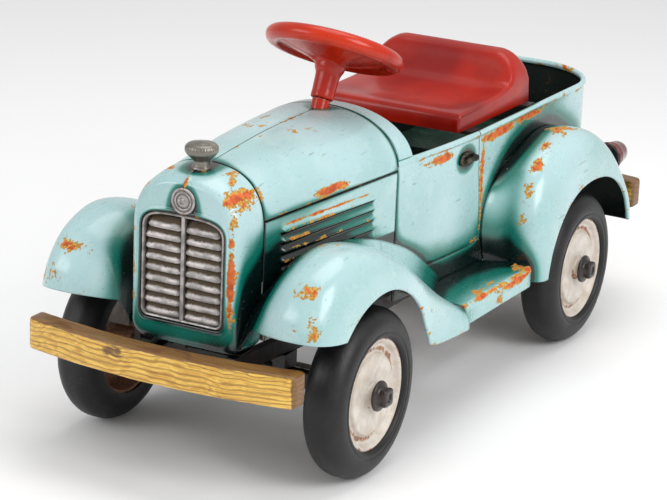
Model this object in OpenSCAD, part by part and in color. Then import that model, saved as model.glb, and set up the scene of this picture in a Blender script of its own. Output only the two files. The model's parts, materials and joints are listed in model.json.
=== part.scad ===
// Child's pedal car, 1930s style: pressed-steel body on a channel frame, four solid-tyred disc
// wheels, hanging pedals driving a cranked rear axle, and a tie-rod front steering.
// +X is the car's left side, the radiator faces -Y, +Z is up. The origin is on the floor, midway
// between the two bumpers.

/* [Wheels] */
// Outer diameter of a tyre
tyre_d = 200; // [180:1:220]
// Width of a tyre
tyre_w = 51; // [40:1:56]
// Radius of the tyre's rounded shoulder
tyre_round = 22; // [12:1:24]
// Diameter of the wheel disc where it meets the tyre
rim_d = 134; // [120:1:140]
// Depth of the wheel disc behind the tyre's side
rim_recess = 7; // [3:1:12]
// Diameter of the raised step pressed in the wheel disc
step_d = 94; // [80:1:106]
// Outer diameter of the hub tube
hub_d = 28; // [22:1:32]
// Distance between the outer sides of the two tyres on one axle
track_over = 381; // [372:1:430]
// Distance between the front and rear axles
wheelbase = 572; // [560:1:690]
// Diameter of spindles and axle
axle_d = 12; // [9:0.5:14]
// Diameter of a hub cap's flange
cap_d = 36; // [30:1:44]
// How far a hub cap stands out of the tyre's side
cap_out = 14; // [13:1:24]

/* [Body] */
// Thickness of the pressed steel
sheet = 2.4; // [1.6:0.2:3.2]
// Distance from the front axle forward to the radiator's face
nose_front = 120; // [112:1:135]
// Distance from the front axle forward to the seam between radiator shell and hood
nose_seam = 65; // [55:1:75]
// Half width of the radiator shell at that seam
nose_half = 72; // [64:1:74]
// Height of the radiator shell's top at that seam
nose_top = 358; // [345:1:380]
// Half width of the hood where it meets the cowl
cowl_half = 102; // [96:1:106]
// Height of the hood's top where it meets the cowl
cowl_top = 370; // [355:1:390]
// Rise of the hood's back above a straight line between its ends
hood_rise = 5; // [0:1:10]
// Distance from the front axle back to the seam between hood and cowl
cowl_seam = 198; // [196:1:206]
// Length of the cowl
cowl_len = 32; // [24:1:40]
// Half width of the tub beside the seat
tub_half = 118; // [112:1:124]
// Distance from the rear axle back to the rear wall of the tub
tail_length = 214; // [208:1:348]
// Radius of the tub's rear corners
tub_corner = 102; // [70:1:104]
// Height of the tub's rolled top rail
rail_top = 316; // [306:1:330]
// Height of the tub's lower edge
sill_z = 140; // [138:1:142]
// Height of the floor of the rear box
box_floor_z = 220; // [200:1:240]
// Height of the seam between the hood and its side panels
split_z = 301; // [298:1:306]

/* [Grille] */
// Half width of the grille opening
grille_half = 54; // [46:1:56]
// Height of the opening's lower edge
grille_low = 183; // [178:1:190]
// Height of the opening's top in the middle
grille_high = 309; // [296:1:312]
// Number of slats in a column
slats = 9; // [6:1:11]
// Radius of the round badge
badge_r = 15.5; // [10:0.5:16]

/* [Fenders] */
// Distance from the centreline to a front fender's inner edge beside the radiator
fender_in = 88; // [84:1:100]
// Radius of the front wheel arch
front_arch = 124; // [118:1:126]
// Radius of the rear wheel arch
rear_arch = 120; // [116:1:124]
// Half width over the fenders
fender_half = 193; // [190:1:196]
// Height of the running boards
board_z = 143; // [141.5:0.5:143.5]
// Half width over the running boards
board_half = 186; // [180:1:190]
// Depth of a running board's outer lip
board_lip = 27; // [20:1:30]

/* [Bumpers] */
// Half length of a bumper plank
plank_half = 174; // [160:1:190]
// Thickness of the plank
plank_t = 28; // [22:1:32]
// Height of the plank
plank_h = 38; // [34:1:44]
// Height of the plank's lower edge
plank_z = 131; // [128:1:133]
// How far the plank's middle stands ahead of its ends
plank_bow = 20; // [0:1:26]
// Distance from the front axle forward to the front plank's middle
front_reach = 188; // [186:1:196]

/* [Seat] */
// Half width of the seat
seat_half = 102; // [90:1:106]
// Distance from the front axle back to the seat's front edge
seat_front = 357; // [350:1:366]
// Height of the top of the seat's back
seat_top = 385; // [376:1:400]

/* [Steering] */
// Diameter of the steering wheel, outside the rim
wheel_d = 170; // [150:1:180]
// Diameter of the steering wheel's rim
rim_tube_d = 21; // [16:1:24]
// Height of the steering wheel's centre
wheel_z = 434; // [425:1:450]
// Distance from the front axle back to the steering wheel's centre
wheel_y = 213.5; // [211:0.5:216]
// Tilt of the steering shaft from the vertical
shaft_tilt = 25.9; // [25.5:0.1:26.4]
// Half distance between the two kingpins
kingpin_x = 112; // [106:1:113]
// Length of a knuckle's steering arm
arm_len = 85; // [82:1:87]
// Length of the steering shaft's crank
drop_len = 38; // [36:1:39]

/* [Pedals] */
// Throw of the rear axle's cranks
throw = 35; // [28:1:36]
// Distance from the front axle back to the pedal shaft
pedal_y = 210; // [206:1:214]
// Height of the pedal shaft
pedal_z = 268; // [262:1:272]
// Length of a pedal lever, from the shaft to its rod hole
lever_len = 168; // [160:1:170]
// Height of a pedal block above the rod hole
block_up = 46; // [40:1:60]

/* [Fits] */
// Radial clearance of a shaft in its bore
fit = 0.05; // [0.02:0.01:0.09]
// Width of the seam between neighbouring sheets
seam = 0.6; // [0.4:0.1:1.2]
// Side gap between pieces that turn against each other
side_gap = 0.6; // [0.4:0.1:1.2]

/* [Hidden] */
$fn = 64;

axle_z = tyre_d / 2;
tub_rear = wheelbase + tail_length;            // rear wall, from the front axle
rear_reach = tub_rear + 4 + plank_t;          // rear face of the rear bumper's middle
origin_y = (rear_reach - front_reach) / 2;    // the part's origin, measured from the front axle
cowl_end = cowl_seam + cowl_len;
tyre_out = track_over / 2;
tyre_in = tyre_out - tyre_w;
hub_end = tyre_out - 1;
spring_nose = 285;                            // height where the radiator's arch starts
spring_cowl = 300;
nose_power = 2.5;                             // squareness of the arch at the radiator
cowl_power = 2.2;                             // and at the cowl
rail_w = 12;
rail_h = 20;
rail_low = 128;
rail_high = rail_low + rail_h;
rail_front_x = 56;                            // middle of a frame rail at the front
rail_rear_x = 88;                             // and beside the tub
rail_start = -(nose_front - 15);
rail_end = tub_rear - 55;
wide_y = 200;                                 // where the rails reach their full spacing
shaft_dir = [0, sin(shaft_tilt), cos(shaft_tilt)];
shaft_r = 6;
bush_r = 11;
hub_drop = 62;                                // length of the steering wheel's tapered hub
shaft_end_z = 112;                            // height of the steering shaft's lower end
shaft_len = (wheel_z - shaft_end_z) / cos(shaft_tilt);
bracket_at = (wheel_z - 158) / cos(shaft_tilt);
lug_t = 5.7;
boss_h = 24;                                  // height of the axle's kingpin bosses
boss_r = 10;
kingpin_r = 5;
tie_top = axle_z - 20;                        // upper face of the tie rod's strap
tie_t = 4;
crank_x = 22;                                 // middle of a crank pin
crank_pin_r = 5;
web_t = 4;
rod_w = 8;
rod_len = wheelbase - pedal_y;
lever_in = crank_x + rod_w / 2 + 4;           // inner side of a pedal lever
lever_t = 5;
swing = asin(throw / lever_len);              // half swing of a pedal lever
pin_r = 5;
block_w = 38;
tail_x = 150;
tail_y = tub_rear - 67;
tail_z = 211;
step = 0.01;
louvre_start = 32;                             // from the panel's front edge to the louvres
louvre_run = 182;                              // length of a louvre
louvre_out = 4.2;                              // how far it stands out

// ---------- rules for outlines ----------

function mix(a, b, t) = a + (b - a) * t;
function ease(t) = t <= 0 ? 0 : t >= 1 ? 1 : t * t * (3 - 2 * t);

// Catmull-Rom curve through hand-picked points, with 'cuts' pieces between neighbours
function at(p, i) = p[max(0, min(len(p) - 1, i))];
function bend(a, b, c, d, t) = 0.5 * (2 * b + (c - a) * t + (2 * a - 5 * b + 4 * c - d) * t * t
    + (3 * b - a - 3 * c + d) * t * t * t);
function curve(p, cuts) = concat([for (i = [0:len(p) - 2]) for (k = [0:cuts - 1])
    bend(at(p, i - 1), at(p, i), at(p, i + 1), at(p, i + 2), k / cuts)], [p[len(p) - 1]]);

// Half width of the body at a distance y behind the front axle
function body_half(y) =
    y < -nose_seam ? nose_half - 1.5 * (-nose_seam - y) / (nose_front - nose_seam) :
    y < cowl_seam ? mix(nose_half, cowl_half, (y + nose_seam) / (cowl_seam + nose_seam)) :
    y < 400 ? mix(cowl_half, tub_half, sin(90 * (y - cowl_seam) / (400 - cowl_seam))) :
    y < tub_rear - tub_corner ? tub_half :
    tub_half - tub_corner + sqrt(max(0, tub_corner * tub_corner
        - pow(y - tub_rear + tub_corner, 2)));

// Plan of the tub's left wall, from the cowl seam to the middle of the rear wall
tub_path = concat(
    [for (i = [0:8]) let (y = mix(cowl_seam, 400, i / 8)) [body_half(y), y]],
    [for (a = [0:7.5:90]) [tub_half - tub_corner + tub_corner * cos(a),
        tub_rear - tub_corner + tub_corner * sin(a)]],
    [[0, tub_rear]]);
function normal(p, i) = let (d = at(p, i + 1) - at(p, i - 1)) [d[1], -d[0]] / norm(d);
function shifted(p, d) = [for (i = [0:len(p) - 1]) p[i] + d * normal(p, i)];
function both_sides(p) = concat(p, [for (i = [len(p) - 2:-1:0]) [-p[i][0], p[i][1]]]);
function tub_plan(d) = both_sides(shifted(tub_path, d));

// One arch-shaped section of the hood, from the left foot over the top to the right foot
function arch(w, spring, top, power, foot, n) =
    let (first = asin(pow(max(0, foot - spring) / (top - spring), power / 2)))
    [for (i = [0:n]) let (a = mix(first, 180 - first, i / n), c = cos(a), s = sin(a))
        [sign(c) * w * pow(abs(c), 2 / power), spring + (top - spring) * pow(s, 2 / power)]];
function hood_arch(y, d, foot) = let (t = (y + nose_seam) / (cowl_seam + nose_seam))
    arch(mix(nose_half, cowl_half, t) - d, mix(spring_nose, spring_cowl, t),
        mix(nose_top, cowl_top, t) + hood_rise * sin(180 * t) - d,
        mix(nose_power, cowl_power, t), foot, 32);

// Solid through a list of closed sections, each a list of 3-D points in the same order. An end is
// closed by pairs of triangles between the points on either side of the section's first point.
function end_faces(n) = [for (j = [0:floor((n - 1) / 2) - 1])
    each [[j, j + 1, n - 1 - j], if (j + 1 < n - 2 - j) [j + 1, n - 2 - j, n - 1 - j]]];
module skin(rings) {
    n = len(rings[0]);
    m = len(rings);
    sides = [for (i = [0:m - 2]) for (j = [0:n - 1]) let (k = (j + 1) % n)
        each [[i * n + j, i * n + k, (i + 1) * n + j], [i * n + k, (i + 1) * n + k, (i + 1) * n + j]]];
    first = [for (f = end_faces(n)) [f[2], f[1], f[0]]];
    last = [for (f = end_faces(n)) [for (v = f) v + (m - 1) * n]];
    polyhedron(points = [for (r = rings) each r], faces = concat(sides, first, last));
}

// Shell through sections that lead out, back and round to the first one again
module hoop(rings) {
    n = len(rings[0]);
    m = len(rings);
    polyhedron(points = [for (r = rings) each r], faces = [for (i = [0:m - 1]) for (j = [0:n - 1])
        let (k = (j + 1) % n, a = i * n, b = ((i + 1) % m) * n)
        each [[a + j, a + k, b + j], [a + k, b + k, b + j]]]);
}

// Everything is drawn from the front axle and then moved to the part's own origin
module placed() {
    translate([0, -origin_y, 0]) children();
}

module pair() {
    children();
    mirror([1, 0, 0]) children();
}

// Cylinder along X, from x0 to x1
module bar_x(x0, x1, r, y, z) {
    translate([x0, y, z]) rotate([0, 90, 0]) cylinder(h = x1 - x0, r = r);
}

// Places its children on the steering shaft, s below the wheel's centre, with -Z down the shaft
module on_shaft(s) {
    translate([0, wheel_y, wheel_z] - s * shaft_dir) rotate([-shaft_tilt, 0, 0]) children();
}

// ---------- body ----------

// Arch-topped outline with rounded lower corners: half width w, arch from spring to top
function shield(w, spring, top, power, low, corner) = concat(
    [for (i = [0:24]) let (c = cos(7.5 * i), t = sin(7.5 * i))
        [sign(c) * w * pow(abs(c), 2 / power), spring + (top - spring) * pow(t, 2 / power)]],
    [for (a = [180:22.5:270]) [-w + corner + corner * cos(a), low + corner + corner * sin(a)]],
    [for (a = [270:22.5:360]) [w - corner + corner * cos(a), low + corner + corner * sin(a)]]);
function upright(p, y) = [for (q = p) [q[0], y, q[1]]];

// The radiator shell's section at a distance y, set in from its widest by 'in' at the sides,
// 'down' at the top and 'lift' at the bottom
function nose_ring(y, in, down, lift) = upright(shield(nose_half - in, spring_nose,
    nose_top - down, nose_power, 152 + lift, 16), y);

// Outline of the grille opening, drawn in by d
function grille_plan(d) = shield(grille_half - d, grille_high - 26, grille_high - d, 3.6,
    grille_low + d, 9 - d / 2);

module radiator_shell() {
    f = -nose_front;
    back = -nose_seam - seam;
    color("paleturquoise") placed() hoop([nose_ring(back, 0, 0, 0), nose_ring(f + 16, 1.4, 5, 1),
        nose_ring(f + 8, 3, 8, 3), nose_ring(f + 3, 5.5, 11, 6), nose_ring(f, 9, 15, 10),
        upright(grille_plan(0), f), upright(grille_plan(0), f + sheet),
        nose_ring(f + sheet, 9, 15, 10), nose_ring(f + 5, 6.5, 12, 8),
        nose_ring(f + 16, 1.4 + sheet, 5 + sheet, 1 + sheet),
        nose_ring(back, sheet, sheet, sheet)]);
}

module grille() {
    rim = 3.5;
    depth = 9;
    pitch = (grille_high - grille_low - 2 * rim - 6) / slats;
    color("darkgray") placed() translate([0, -nose_front + depth - 0.5, 0]) {
        rotate([90, 0, 0]) linear_extrude(depth) difference() {
            polygon(grille_plan(0.3));
            polygon(grille_plan(rim));
        }
        translate([-2, -depth, grille_low + 2]) cube([4, depth, grille_high - grille_low - 4]);
        intersection() {
            rotate([90, 0, 0]) linear_extrude(depth) polygon(grille_plan(1));
            for (i = [0:slats - 1])
                translate([-grille_half, -depth + 2, grille_low + rim + 5 + pitch * i])
                    rotate([28, 0, 0]) cube([2 * grille_half, 1.8, pitch * 0.72]);
        }
    }
}

module badge() {
    color("lightgray") placed() translate([0, -nose_front, nose_top - 33]) rotate([90, 0, 0])
        rotate_extrude() polygon([[0, 0], [badge_r, 0], [badge_r, 1.2], [badge_r - 1.5, 2.4],
            [badge_r - 3.5, 1.2], [8.5, 1.2], [7.5, 3.2], [6, 3.2], [5, 1.8], [0, 2.6]]);
}

module radiator_cap() {
    low = nose_top - 1.5;
    color("silver") placed() translate([0, -nose_seam - 20, low]) rotate_extrude()
        polygon([[0, 0], [11, 0], [10, 1.5], [10, 8], [13, 10.5], [17.5, 16], [19, 19.5],
            [19, 23.5], [17, 26.5], [10, 28.5], [0, 29]]);
}

module hood() {
    ys = [for (i = [0:5]) mix(-nose_seam + seam, cowl_seam - seam, i / 5)];
    color("paleturquoise") placed() difference() {
        skin([for (y = ys) let (f = split_z + 4 * (y + nose_seam) / (cowl_seam + nose_seam),
            p = concat(hood_arch(y, 0, f), [for (i = [32:-1:0]) hood_arch(y, sheet, f)[i]]))
            [for (q = p) [q[0], y, q[1]]]]);
        on_shaft(100) cylinder(h = 80, r = bush_r + 0.4);
    }
}

// Flat side panel under the hood, with pressed louvres
module hood_side() {
    run = cowl_seam + nose_seam;
    lean = atan((cowl_half - nose_half) / run);
    length = run / cos(lean) - 2 * seam;
    low = 166;
    translate([nose_half, -nose_seam, 0]) rotate([0, 0, -lean]) translate([0, seam, 0]) {
        difference() {
            rotate([90, 0, -90]) mirror([1, 0, 0]) linear_extrude(sheet) polygon([[0, low],
                [length, low], [length, split_z + 4 - 1.5], [0, split_z - 1.5]]);
            for (i = [0:4])
                translate([-2 * sheet, louvre_start, split_z - 21 - 12 * i])
                    cube([3 * sheet, louvre_run, 5]);
        }
        for (i = [0:4])
            translate([0, louvre_start, split_z - 21 - 12 * i]) rotate([90, 0, 180])
                mirror([0, 0, 1]) mirror([1, 0, 0]) translate([0, 0, -louvre_run])
                mirror([0, 0, 1]) translate([0, 0, -louvre_run]) linear_extrude(louvre_run)
                polygon([[0, 5], [0, 7], [louvre_out, 1.6], [louvre_out - 1, 0.4]]);
    }
}
module hood_side_left() {
    color("paleturquoise") placed() hood_side();
}
module hood_side_right() {
    color("paleturquoise") placed() mirror([1, 0, 0]) hood_side();
}

module cowl() {
    rings = [for (i = [0:3]) let (t = i / 3, y = mix(cowl_seam, cowl_end, t),
        w = body_half(y), top = cowl_top - 3 * t)
        let (a = arch(w, spring_cowl, top, cowl_power, rail_top, 32),
            b = arch(w - sheet, spring_cowl, top - sheet, cowl_power, rail_top, 32))
        [for (q = concat(a, [for (k = [32:-1:0]) b[k]])) [q[0], y, q[1]]]];
    color("paleturquoise") placed() difference() {
        skin(rings);
        on_shaft(100) cylinder(h = 80, r = bush_r + 0.4);
    }
}

module body_tub() {
    color("paleturquoise") placed() {
        difference() {
            translate([0, 0, sill_z]) linear_extrude(rail_top - 8 - sill_z) polygon(tub_plan(0));
            translate([0, -step, sill_z - 1]) linear_extrude(rail_top)
                polygon(concat(tub_plan(-sheet), [[-cowl_half, cowl_seam - 5],
                    [cowl_half, cowl_seam - 5]]));
        }
        difference() {
            translate([0, 0, rail_top - 8]) linear_extrude(8) polygon(tub_plan(2));
            translate([0, -step, rail_top - 9]) linear_extrude(10)
                polygon(concat(tub_plan(-5), [[-cowl_half, cowl_seam - 5],
                    [cowl_half, cowl_seam - 5]]));
        }
    }
}

// Outline of a floor or strap that fills the tub between two distances, drawn in by d
module tub_slice(y0, y1, d, z, t) {
    translate([0, 0, z]) linear_extrude(t) intersection() {
        polygon(tub_plan(-d));
        translate([-200, y0]) square([400, y1 - y0]);
    }
}

// The lower half reaches the tub's walls and the upper half stands clear of them
module box_floor() {
    front = seat_front + 216;
    half = sheet / 2;
    color("darkslategray") placed() {
        tub_slice(front, tub_rear, sheet, box_floor_z, half);
        tub_slice(front + 1, tub_rear, sheet + 0.5, box_floor_z + half - step, half + step);
    }
}

module seat_supports() {
    color("dimgray") placed() for (y = [seat_front + 14, seat_front + 176])
        tub_slice(y, y + 24, 5, rail_top - 4, 4);
}

// Side outline of the moulded seat, thinned by d
function seat_side(d) = [for (p = curve([[0, 0], [0, 14], [7, 22], [60, 24], [125, 27], [150, 35],
    [164, 54], [176, seat_top - rail_top - 1], [190, seat_top - rail_top], [200, 52],
    [206, 12], [207, 0]], 3)) [mix(103, p[0], 1 - d / 103), p[1] - d]];
module seat() {
    back = seat_top - rail_top;
    color("firebrick") placed() difference() {
        intersection() {
            translate([-seat_half, seat_front, rail_top]) rotate([90, 0, 90])
                linear_extrude(2 * seat_half) polygon(seat_side(0));
            translate([0, seat_front + 250, rail_top]) rotate([90, 0, 0]) linear_extrude(300)
                polygon(concat([[-seat_half, -10], [seat_half, -10]],
                    [for (a = [0:15:90]) [seat_half - 38 + 38 * cos(a), back - 38 + 38 * sin(a)]],
                    [for (a = [90:15:180]) [-seat_half + 38 + 38 * cos(a),
                        back - 38 + 38 * sin(a)]]));
        }
        intersection() {
            translate([-seat_half + 5, seat_front, rail_top]) rotate([90, 0, 90])
                linear_extrude(2 * seat_half - 10) polygon(seat_side(5));
            translate([0, seat_front + 250, rail_top]) rotate([90, 0, 0]) linear_extrude(300)
                polygon(concat([[-seat_half + 5, -10], [seat_half - 5, -10]],
                    [for (a = [0:15:90]) [seat_half - 38 + 33 * cos(a), back - 38 + 33 * sin(a)]],
                    [for (a = [90:15:180]) [-seat_half + 38 + 33 * cos(a),
                        back - 38 + 33 * sin(a)]]));
        }
    }
}

module door_handles() {
    y = 352;
    z = rail_top - 29;
    color("dimgray") placed() pair() translate([body_half(y), y, z]) {
        bar_x(0.4, 8, 4.5, 0, 0);
        translate([6, 0, 0]) rotate([0, 90, 0]) linear_extrude(6) {
            translate([-4, -20]) square([8, 40]);
            for (k = [-20, 20]) translate([0, k]) circle(r = 6.5);
        }
    }
}

module tail_light_bases() {
    x0 = body_half(tail_y) + 0.2;
    color("dimgray") placed() pair() {
        translate([tail_x, tail_y, tail_z]) rotate([-90, 0, 0]) cylinder(h = 5, r = 19.5);
        translate([x0, tail_y, tail_z - 10]) cube([tail_x - x0, 5, 20]);
    }
}
module tail_light_lenses() {
    color("darkred") placed() pair() translate([tail_x, tail_y + 5, tail_z])
        rotate([-90, 0, 0]) rotate_extrude() polygon([[0, 0], [19.5, 0], [20.5, 3],
            [19, 16], [16, 34], [13.5, 42], [9, 47], [0, 48]]);
}

// ---------- fenders ----------

// Gap between a fender's foot and the body, wide enough beside the louvres to clear them
louvre_back = louvre_start + louvre_run - nose_seam;
function foot_gap(y) = mix(louvre_out + 0.8, 0.4, ease((y - louvre_back) / 20));

// Outer and inner faces of a pressed fender. lip, crown and root are matching lists of [y, z]:
// the arch's edge, the top of the curve, and the line where it meets the body.
function fender_line(lip, crown, root, d) = let (xc = 150, xo = fender_half - d, n = 7)
    concat([for (i = [0:n]) let (a = 90 * i / n, k = pow(sin(a), 0.75), p = mix(lip, crown, k),
            q = norm(crown - lip), e = (crown - lip) / q)
        [xc + (xo - xc) * pow(cos(a), 0.75), p[0] - d * k * e[0], p[1] - d * k * e[1]]],
    [for (i = [1:n]) let (t = i / n, p = mix(crown, root, t * t), q = norm(crown - lip),
            e = (crown - lip) / q)
        [mix(xc, max(fender_in, body_half(root[0]) + foot_gap(root[0])), t),
            p[0] - d * e[0], p[1] - d * e[1]]]);
module fender(lips, crowns, roots) {
    skin([for (i = [0:len(lips) - 1])
        let (a = fender_line(lips[i], crowns[i], roots[i], 0),
            b = fender_line(lips[i], crowns[i], roots[i], sheet))
        [for (q = concat(a, [for (k = [len(b) - 1:-1:0]) b[k]])) q]]);
}
function arch_point(y, r, a) = [y + r * cos(a), axle_z + r * sin(a)];

module front_fender() {
    cuts = 3;
    lift = axle_z - 100;
    up = [0, lift];
    lips = curve(concat([for (a = [134, 122, 108, 92, 76, 58, 40, 20])
        arch_point(0, front_arch, a)], [[137, board_z - board_lip + 7], [226, board_z - board_lip]]),
        cuts);
    crowns = curve([up + [-139, 196], up + [-131, 227], up + [-101, 260], up + [-50, 278],
        up + [4, 272], [56, 250], [102, 222], [146, 194], [188, 167], [228, board_z + 0.2]], cuts);
    roots = curve([[-112, 190], [-92, 218], [-66, 236], [-26, 248], [22, 252], [74, 248],
        [124, 238], [178, 221], [236, 194], [304, board_z + 0.2]], cuts);
    fender(lips, crowns, roots);
}
module front_fender_left() {
    color("paleturquoise") placed() front_fender();
}
module front_fender_right() {
    color("paleturquoise") placed() mirror([1, 0, 0]) front_fender();
}

module rear_fender() {
    cuts = 3;
    b = [wheelbase - 572, 0];
    lips = curve([for (i = [0:10]) let (a = mix(172, 13, i / 10))
        arch_point(wheelbase, mix(rear_arch, rear_arch + 27, ease((i - 5) / 5)), a)], cuts);
    crowns = curve([for (p = [[424, 118], [419, 165], [428, 215], [456, 255], [504, 279],
        [560, 287], [618, 275], [668, 244], [706, 200], [736, 150], [730, 128]]) b + p], cuts);
    roots = curve([for (p = [[426, 118], [404, 168], [413, 218], [446, 247], [494, 266],
        [546, 280], [596, 279], [645, 262], [686, 226], [716, 176], [718, 131]]) b + p], cuts);
    fender(lips, crowns, roots);
}
module rear_fender_left() {
    color("paleturquoise") placed() rear_fender();
}
module rear_fender_right() {
    color("paleturquoise") placed() mirror([1, 0, 0]) rear_fender();
}

module running_board() {
    front_out = 229;
    front_in = 306;
    back_out = wheelbase - 146;
    back_in = wheelbase - 170;
    n = 6;
    edge = [for (i = [0:n]) let (y = mix(front_in, back_in, i / n)) [body_half(y) + 0.3, y]];
    translate([0, 0, board_z - sheet]) linear_extrude(sheet) polygon(concat(edge,
        [[board_half, back_out], [board_half, front_out]]));
    translate([board_half - sheet, front_out, board_z - board_lip])
        cube([sheet, back_out - front_out, board_lip]);
}
module running_board_left() {
    color("paleturquoise") placed() running_board();
}
module running_board_right() {
    color("paleturquoise") placed() mirror([1, 0, 0]) running_board();
}

// ---------- bumpers and frame ----------

// Plan of a bowed plank with rounded ends. Its front face's middle is at y = 0, facing -Y.
function plank_y(x) = plank_bow * pow(x / plank_half, 2);
plank_ends = 9;
plank_plan = concat([for (i = [-12:12]) let (x = (plank_half - plank_ends) * i / 12)
        [x, plank_y(x)]],
    [for (a = [-60:30:60]) [plank_half - plank_ends + plank_ends * cos(a),
        plank_y(plank_half) + plank_t / 2 - 1 + (plank_t / 2 - 2) * sin(a)]],
    [for (i = [12:-1:-12]) let (x = (plank_half - plank_ends) * i / 12)
        [x, plank_y(x) + plank_t]],
    [for (a = [120:30:240]) [-plank_half + plank_ends + plank_ends * cos(a),
        plank_y(plank_half) + plank_t / 2 - 1 + (plank_t / 2 - 2) * sin(a)]]);
screw_r = 3;
screw_x = 60;
screw_zs = [plank_z + 11, plank_z + 27];
leg_y = plank_t - plank_y(screw_x + 12) + 2 * plank_y(screw_x + 12) + 0.2;
leg_t = 4;
module plank() {
    difference() {
        translate([0, 0, plank_z]) linear_extrude(plank_h) polygon(plank_plan);
        for (x = [-screw_x, screw_x], z = screw_zs)
            translate([x, plank_t - 14, z]) rotate([-90, 0, 0]) cylinder(h = 40, r = screw_r + fit);
    }
}
module front_place() {
    placed() translate([0, -front_reach, 0]) children();
}
module rear_place() {
    placed() translate([0, rear_reach, 0]) mirror([0, 1, 0]) children();
}
module front_bumper() {
    color("goldenrod") front_place() plank();
}
module rear_bumper() {
    color("goldenrod") rear_place() plank();
}
// Angle straps; the foot at their far end spreads outward to the underside of a rail
module brackets(reach, spread) {
    pair() translate([screw_x, leg_y, 0]) difference() {
        union() {
            translate([-11, 0, rail_low - 6]) cube([22, reach, 6]);
            translate([-11, reach - 40, rail_low - 6]) cube([11 + spread, 40, 6]);
            translate([-11, 0, rail_low - 6]) cube([22, leg_t, plank_z + plank_h - rail_low]);
        }
        for (z = screw_zs) translate([0, -1, z]) rotate([-90, 0, 0])
            cylinder(h = leg_t + 2, r = screw_r + fit);
    }
}
module bumper_brackets() {
    color("dimgray") front_place() brackets(80, 11);
    color("dimgray") rear_place() brackets(110, rail_rear_x - screw_x + rail_w / 2);
}
module screws() {
    pair() for (z = screw_zs) translate([screw_x, 0, z]) {
        translate([0, plank_t - 13, 0]) rotate([-90, 0, 0])
            cylinder(h = leg_y + leg_t - plank_t + 13.1, r = screw_r);
        translate([0, leg_y + leg_t, 0]) rotate([-90, 0, 0]) cylinder(h = 3, r = 6);
    }
}
module bumper_screws() {
    color("gray") front_place() screws();
    color("gray") rear_place() screws();
}

module frame_rails() {
    w = rail_w / 2;
    color("black") placed() pair() difference() {
        translate([0, 0, rail_low]) linear_extrude(rail_h) polygon([
            [rail_front_x - w, rail_start], [rail_front_x + w, rail_start],
            [rail_rear_x + w, wide_y], [rail_rear_x + w, rail_end],
            [rail_rear_x - w, rail_end], [rail_rear_x - w, wide_y]]);
        translate([0, 0, rail_low + 3]) linear_extrude(rail_h - 6) polygon([
            [rail_front_x - w - 1, rail_start - 1], [rail_front_x + w - 3, rail_start - 1],
            [rail_rear_x + w - 3, wide_y], [rail_rear_x + w - 3, rail_end + 1],
            [rail_rear_x - w - 1, rail_end + 1], [rail_rear_x - w - 1, wide_y]]);
    }
}

module cross_members() {
    color("black") placed() {
        translate([-nose_half + 8, -nose_seam - 30, rail_high]) cube([2 * nose_half - 16, 26, 3]);
        tub_slice(cowl_end + 40, cowl_end + 70, sheet, rail_high, 3);
        tub_slice(tub_rear - 113, tub_rear - 83, sheet, rail_high, 3);
    }
}

// ---------- front axle and steering ----------

module front_axle() {
    low = axle_z - boss_h / 2;
    perch = rail_front_x + (rail_rear_x - rail_front_x) * (-rail_start) / (wide_y - rail_start);
    color("black") placed() difference() {
        union() {
            translate([-kingpin_x, -7, axle_z - 9]) cube([2 * kingpin_x, 14, 18]);
            for (s = [-1, 1]) {
                translate([s * kingpin_x, 0, low]) cylinder(h = boss_h, r = boss_r);
                translate([s * perch - 8, -14, axle_z + 9]) cube([16, 28, rail_low - axle_z - 9]);
            }
        }
        for (s = [-1, 1]) translate([s * kingpin_x, 0, low - 1])
            cylinder(h = boss_h + 2, r = kingpin_r + fit);
    }
}

lug_low = axle_z - boss_h / 2 - side_gap - lug_t;
lug_high = axle_z + boss_h / 2 + side_gap;
module kingpins() {
    color("gray") placed() pair() translate([kingpin_x, 0, 0]) {
        translate([0, 0, lug_low - 3]) cylinder(h = lug_high + lug_t - lug_low + 3.5, r = kingpin_r);
        translate([0, 0, lug_high + lug_t + 0.4]) cylinder(h = 4, r = 8);
    }
}

web_x = kingpin_x + boss_r + 2;
web_w = 8;
module knuckle() {
    tie_r = 3.5;
    difference() {
        union() {
            for (z = [lug_low, lug_high]) translate([kingpin_x, 0, z]) {
                cylinder(h = lug_t, r = boss_r);
                translate([0, -boss_r, 0]) cube([web_x - kingpin_x + web_w, 2 * boss_r, lug_t]);
            }
            translate([web_x, -boss_r, lug_low])
                cube([web_w, 2 * boss_r, lug_high + lug_t - lug_low]);
            translate([kingpin_x - 7, 0, lug_low]) cube([14, arm_len, lug_t]);
            translate([kingpin_x, arm_len, lug_low]) cylinder(h = lug_t, r = 8);
            translate([kingpin_x, arm_len, tie_top - tie_t - 3])
                cylinder(h = lug_low - tie_top + tie_t + 4, r = tie_r);
            bar_x(web_x, hub_end + 9, axle_d / 2, 0, axle_z);
            bar_x(hub_end + side_gap, hub_end + 8, 9, 0, axle_z);
        }
        translate([kingpin_x, 0, lug_low - 1])
            cylinder(h = lug_high + lug_t - lug_low + 2, r = kingpin_r + fit);
        translate([kingpin_x, 0, lug_low + lug_t]) cylinder(h = boss_h + 2 * side_gap, r = boss_r + 1);
    }
}
module knuckle_left() {
    color("dimgray") placed() knuckle();
}
module knuckle_right() {
    color("dimgray") placed() mirror([1, 0, 0]) knuckle();
}

module tie_rod() {
    eye_r = 9;
    slot_y = 26;
    color("gray") placed() translate([0, arm_len, tie_top - tie_t]) linear_extrude(tie_t)
        difference() {
            union() {
                translate([-kingpin_x, -8]) square([2 * kingpin_x, 16]);
                for (s = [-1, 1]) translate([s * kingpin_x, 0]) circle(r = eye_r + 5);
                translate([-16, -24]) square([32, 40]);
            }
            for (s = [-1, 1]) translate([s * kingpin_x, 0]) circle(r = eye_r);
            translate([-7, -18]) square([14, slot_y]);
        }
}

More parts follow.
